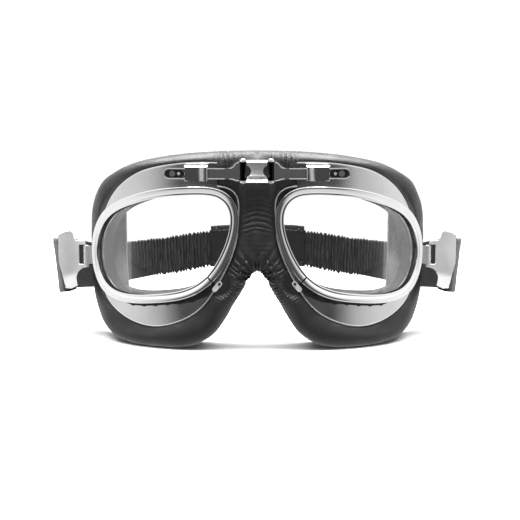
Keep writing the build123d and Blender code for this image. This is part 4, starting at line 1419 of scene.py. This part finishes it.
# Back panel: padded leather with a stitched border.
PANEL_X = 31.5
panel_xs, _ = arc_even(-PANEL_X, PANEL_X, 3.1, 0.8)
panel_place, panel_out = loop_point(panel_xs, 0)
panel_top = heights([(0, 59.9), (PANEL_X, 58.2)], np.abs(panel_xs))
panel_low = heights([(0, 31.0), (PANEL_X, 31.2)], np.abs(panel_xs))


def crown(share, face):
    """How far the panel's padding lifts its faces."""
    return np.full(len(panel_xs), 0.5 * sin(pi * share) ** 0.5 if 0 < share < 1 else 0.0)


points, faces = band(
    panel_place, panel_out, panel_low, panel_top, (1.7, 4.5), 0.8, 18, crown
)
panel = piece("back_panel", points, faces, 1, 60)
roughened(panel, (0.15, 8.0, 21), (0.05, 2.0, 22))
coat(panel, STRAP_LEATHER)
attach(panel, "bridge")
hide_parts("strap_panel")
stitches = []
for face, off in ((1, -1.35), (-1, -4.85)):
    line = panel_place + panel_out * off
    stitches += stitch_row(line, panel_top - 3.2, panel_out * face)
    stitches += stitch_row(line, panel_low + 3.2, panel_out * face)
points, faces = joined(stitches)
panel_stitching = piece("back_panel_stitching", points, faces, 1, 60)
coat(panel_stitching, THREAD)
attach(panel_stitching, "bridge")

# ---- Floor, light and camera -------------------------------------------------------


def floor_disc(radius):
    mesh = bpy.data.meshes.new("floor")
    bm = bmesh.new()
    bmesh.ops.create_circle(bm, cap_ends=True, segments=96, radius=radius)
    bm.to_mesh(mesh)
    bm.free()
    obj = bpy.data.objects.new("floor", mesh)
    bpy.context.scene.collection.objects.link(obj)
    return obj


floor = floor_disc(0.6)
floor.visible_glossy = False
look = Look("floor")
look.set(
    Base_Color=look.colours(look.noise(4, 2), (0.3, 0.56), (0.7, 0.58)), Roughness=0.6,
    Specular_IOR_Level=0.2,
)
coat(floor, look.material)


def softbox(name, place, aim, size, power):
    data = bpy.data.lights.new(name, "AREA")
    data.shape = "RECTANGLE"
    data.size, data.size_y = size
    data.energy = power
    obj = bpy.data.objects.new(name, data)
    obj.location = place
    obj.rotation_euler = (Vector(aim) - Vector(place)).to_track_quat("-Z", "Y").to_euler()
    obj.visible_camera = False
    bpy.context.scene.collection.objects.link(obj)
    return obj


top_light = softbox("top_light", (0, -0.06, 0.85), (0, -0.06, 0.06), (1.5, 0.8), 60.0)
top_light.visible_glossy = False
# A second one gives the leather and the small metal pieces their sheen, and lights nothing else.
sheen_light = softbox("sheen_light", (0, 0.0, 0.8), (0, 0.0, 0.06), (1.3, 0.9), 46.0)
SHINY = (
    "facepiece_", "nose_", "hook_", "clasp_", "bridge_link", "arm_keeper", "hinge_pin",
)
sheen_on = bpy.data.collections.new("sheen_on")
for obj in bpy.data.objects:
    if obj.name.startswith(SHINY):
        sheen_on.objects.link(obj)
sheen_light.light_linking.receiver_collection = sheen_on

# The studio is dark in front, white behind, and bright above and below. Only the camera sees
# plain white.
SEEN_WHITE = 1.12
world = bpy.data.worlds.new("studio")
world.use_nodes = True
bpy.context.scene.world = world
sky = Nodes(world.node_tree, "Generated")
around = sky.colours(
    sky.ramp(sky.axis("Y"), -1, 1, 0, 1),
    (0.0, 0.04), (0.017, 0.08), (0.047, 0.12), (0.088, 0.03), (0.125, 0.2), (0.2, 0.56),
    (0.35, 0.84), (0.5, 0.95), (1.0, 1.0),
)
above = sky.ramp(sky.axis("Z"), 0.3, 0.52, 0, 1.15)
below = sky.ramp(sky.axis("Z"), -0.35, -0.6, 0, 0.7)
lit = sky.mixed("LIGHTEN", 1.0, around, sky.maths("MAXIMUM", above, below))
by_camera = sky.add("ShaderNodeLightPath").outputs["Is Camera Ray"]
shown = sky.mixed("MIX", by_camera, lit, grey(SEEN_WHITE))
background = sky.tree.nodes["Background"]
sky.feed(background.inputs["Color"], shown)
background.inputs["Strength"].default_value = 1.0

camera_data = bpy.data.cameras.new("camera")
camera_data.lens = 80.2
camera_data.sensor_width = 36
camera_data.clip_start = 0.01
camera_data.clip_end = 20
camera = bpy.data.objects.new("camera", camera_data)
camera.location = (0.0016, -0.69386, 0.112)
camera.rotation_euler = (radians(90 - 5.7), 0, 0)
bpy.context.scene.collection.objects.link(camera)
bpy.context.scene.camera = camera
bpy.context.scene.view_settings.view_transform = "Standard"
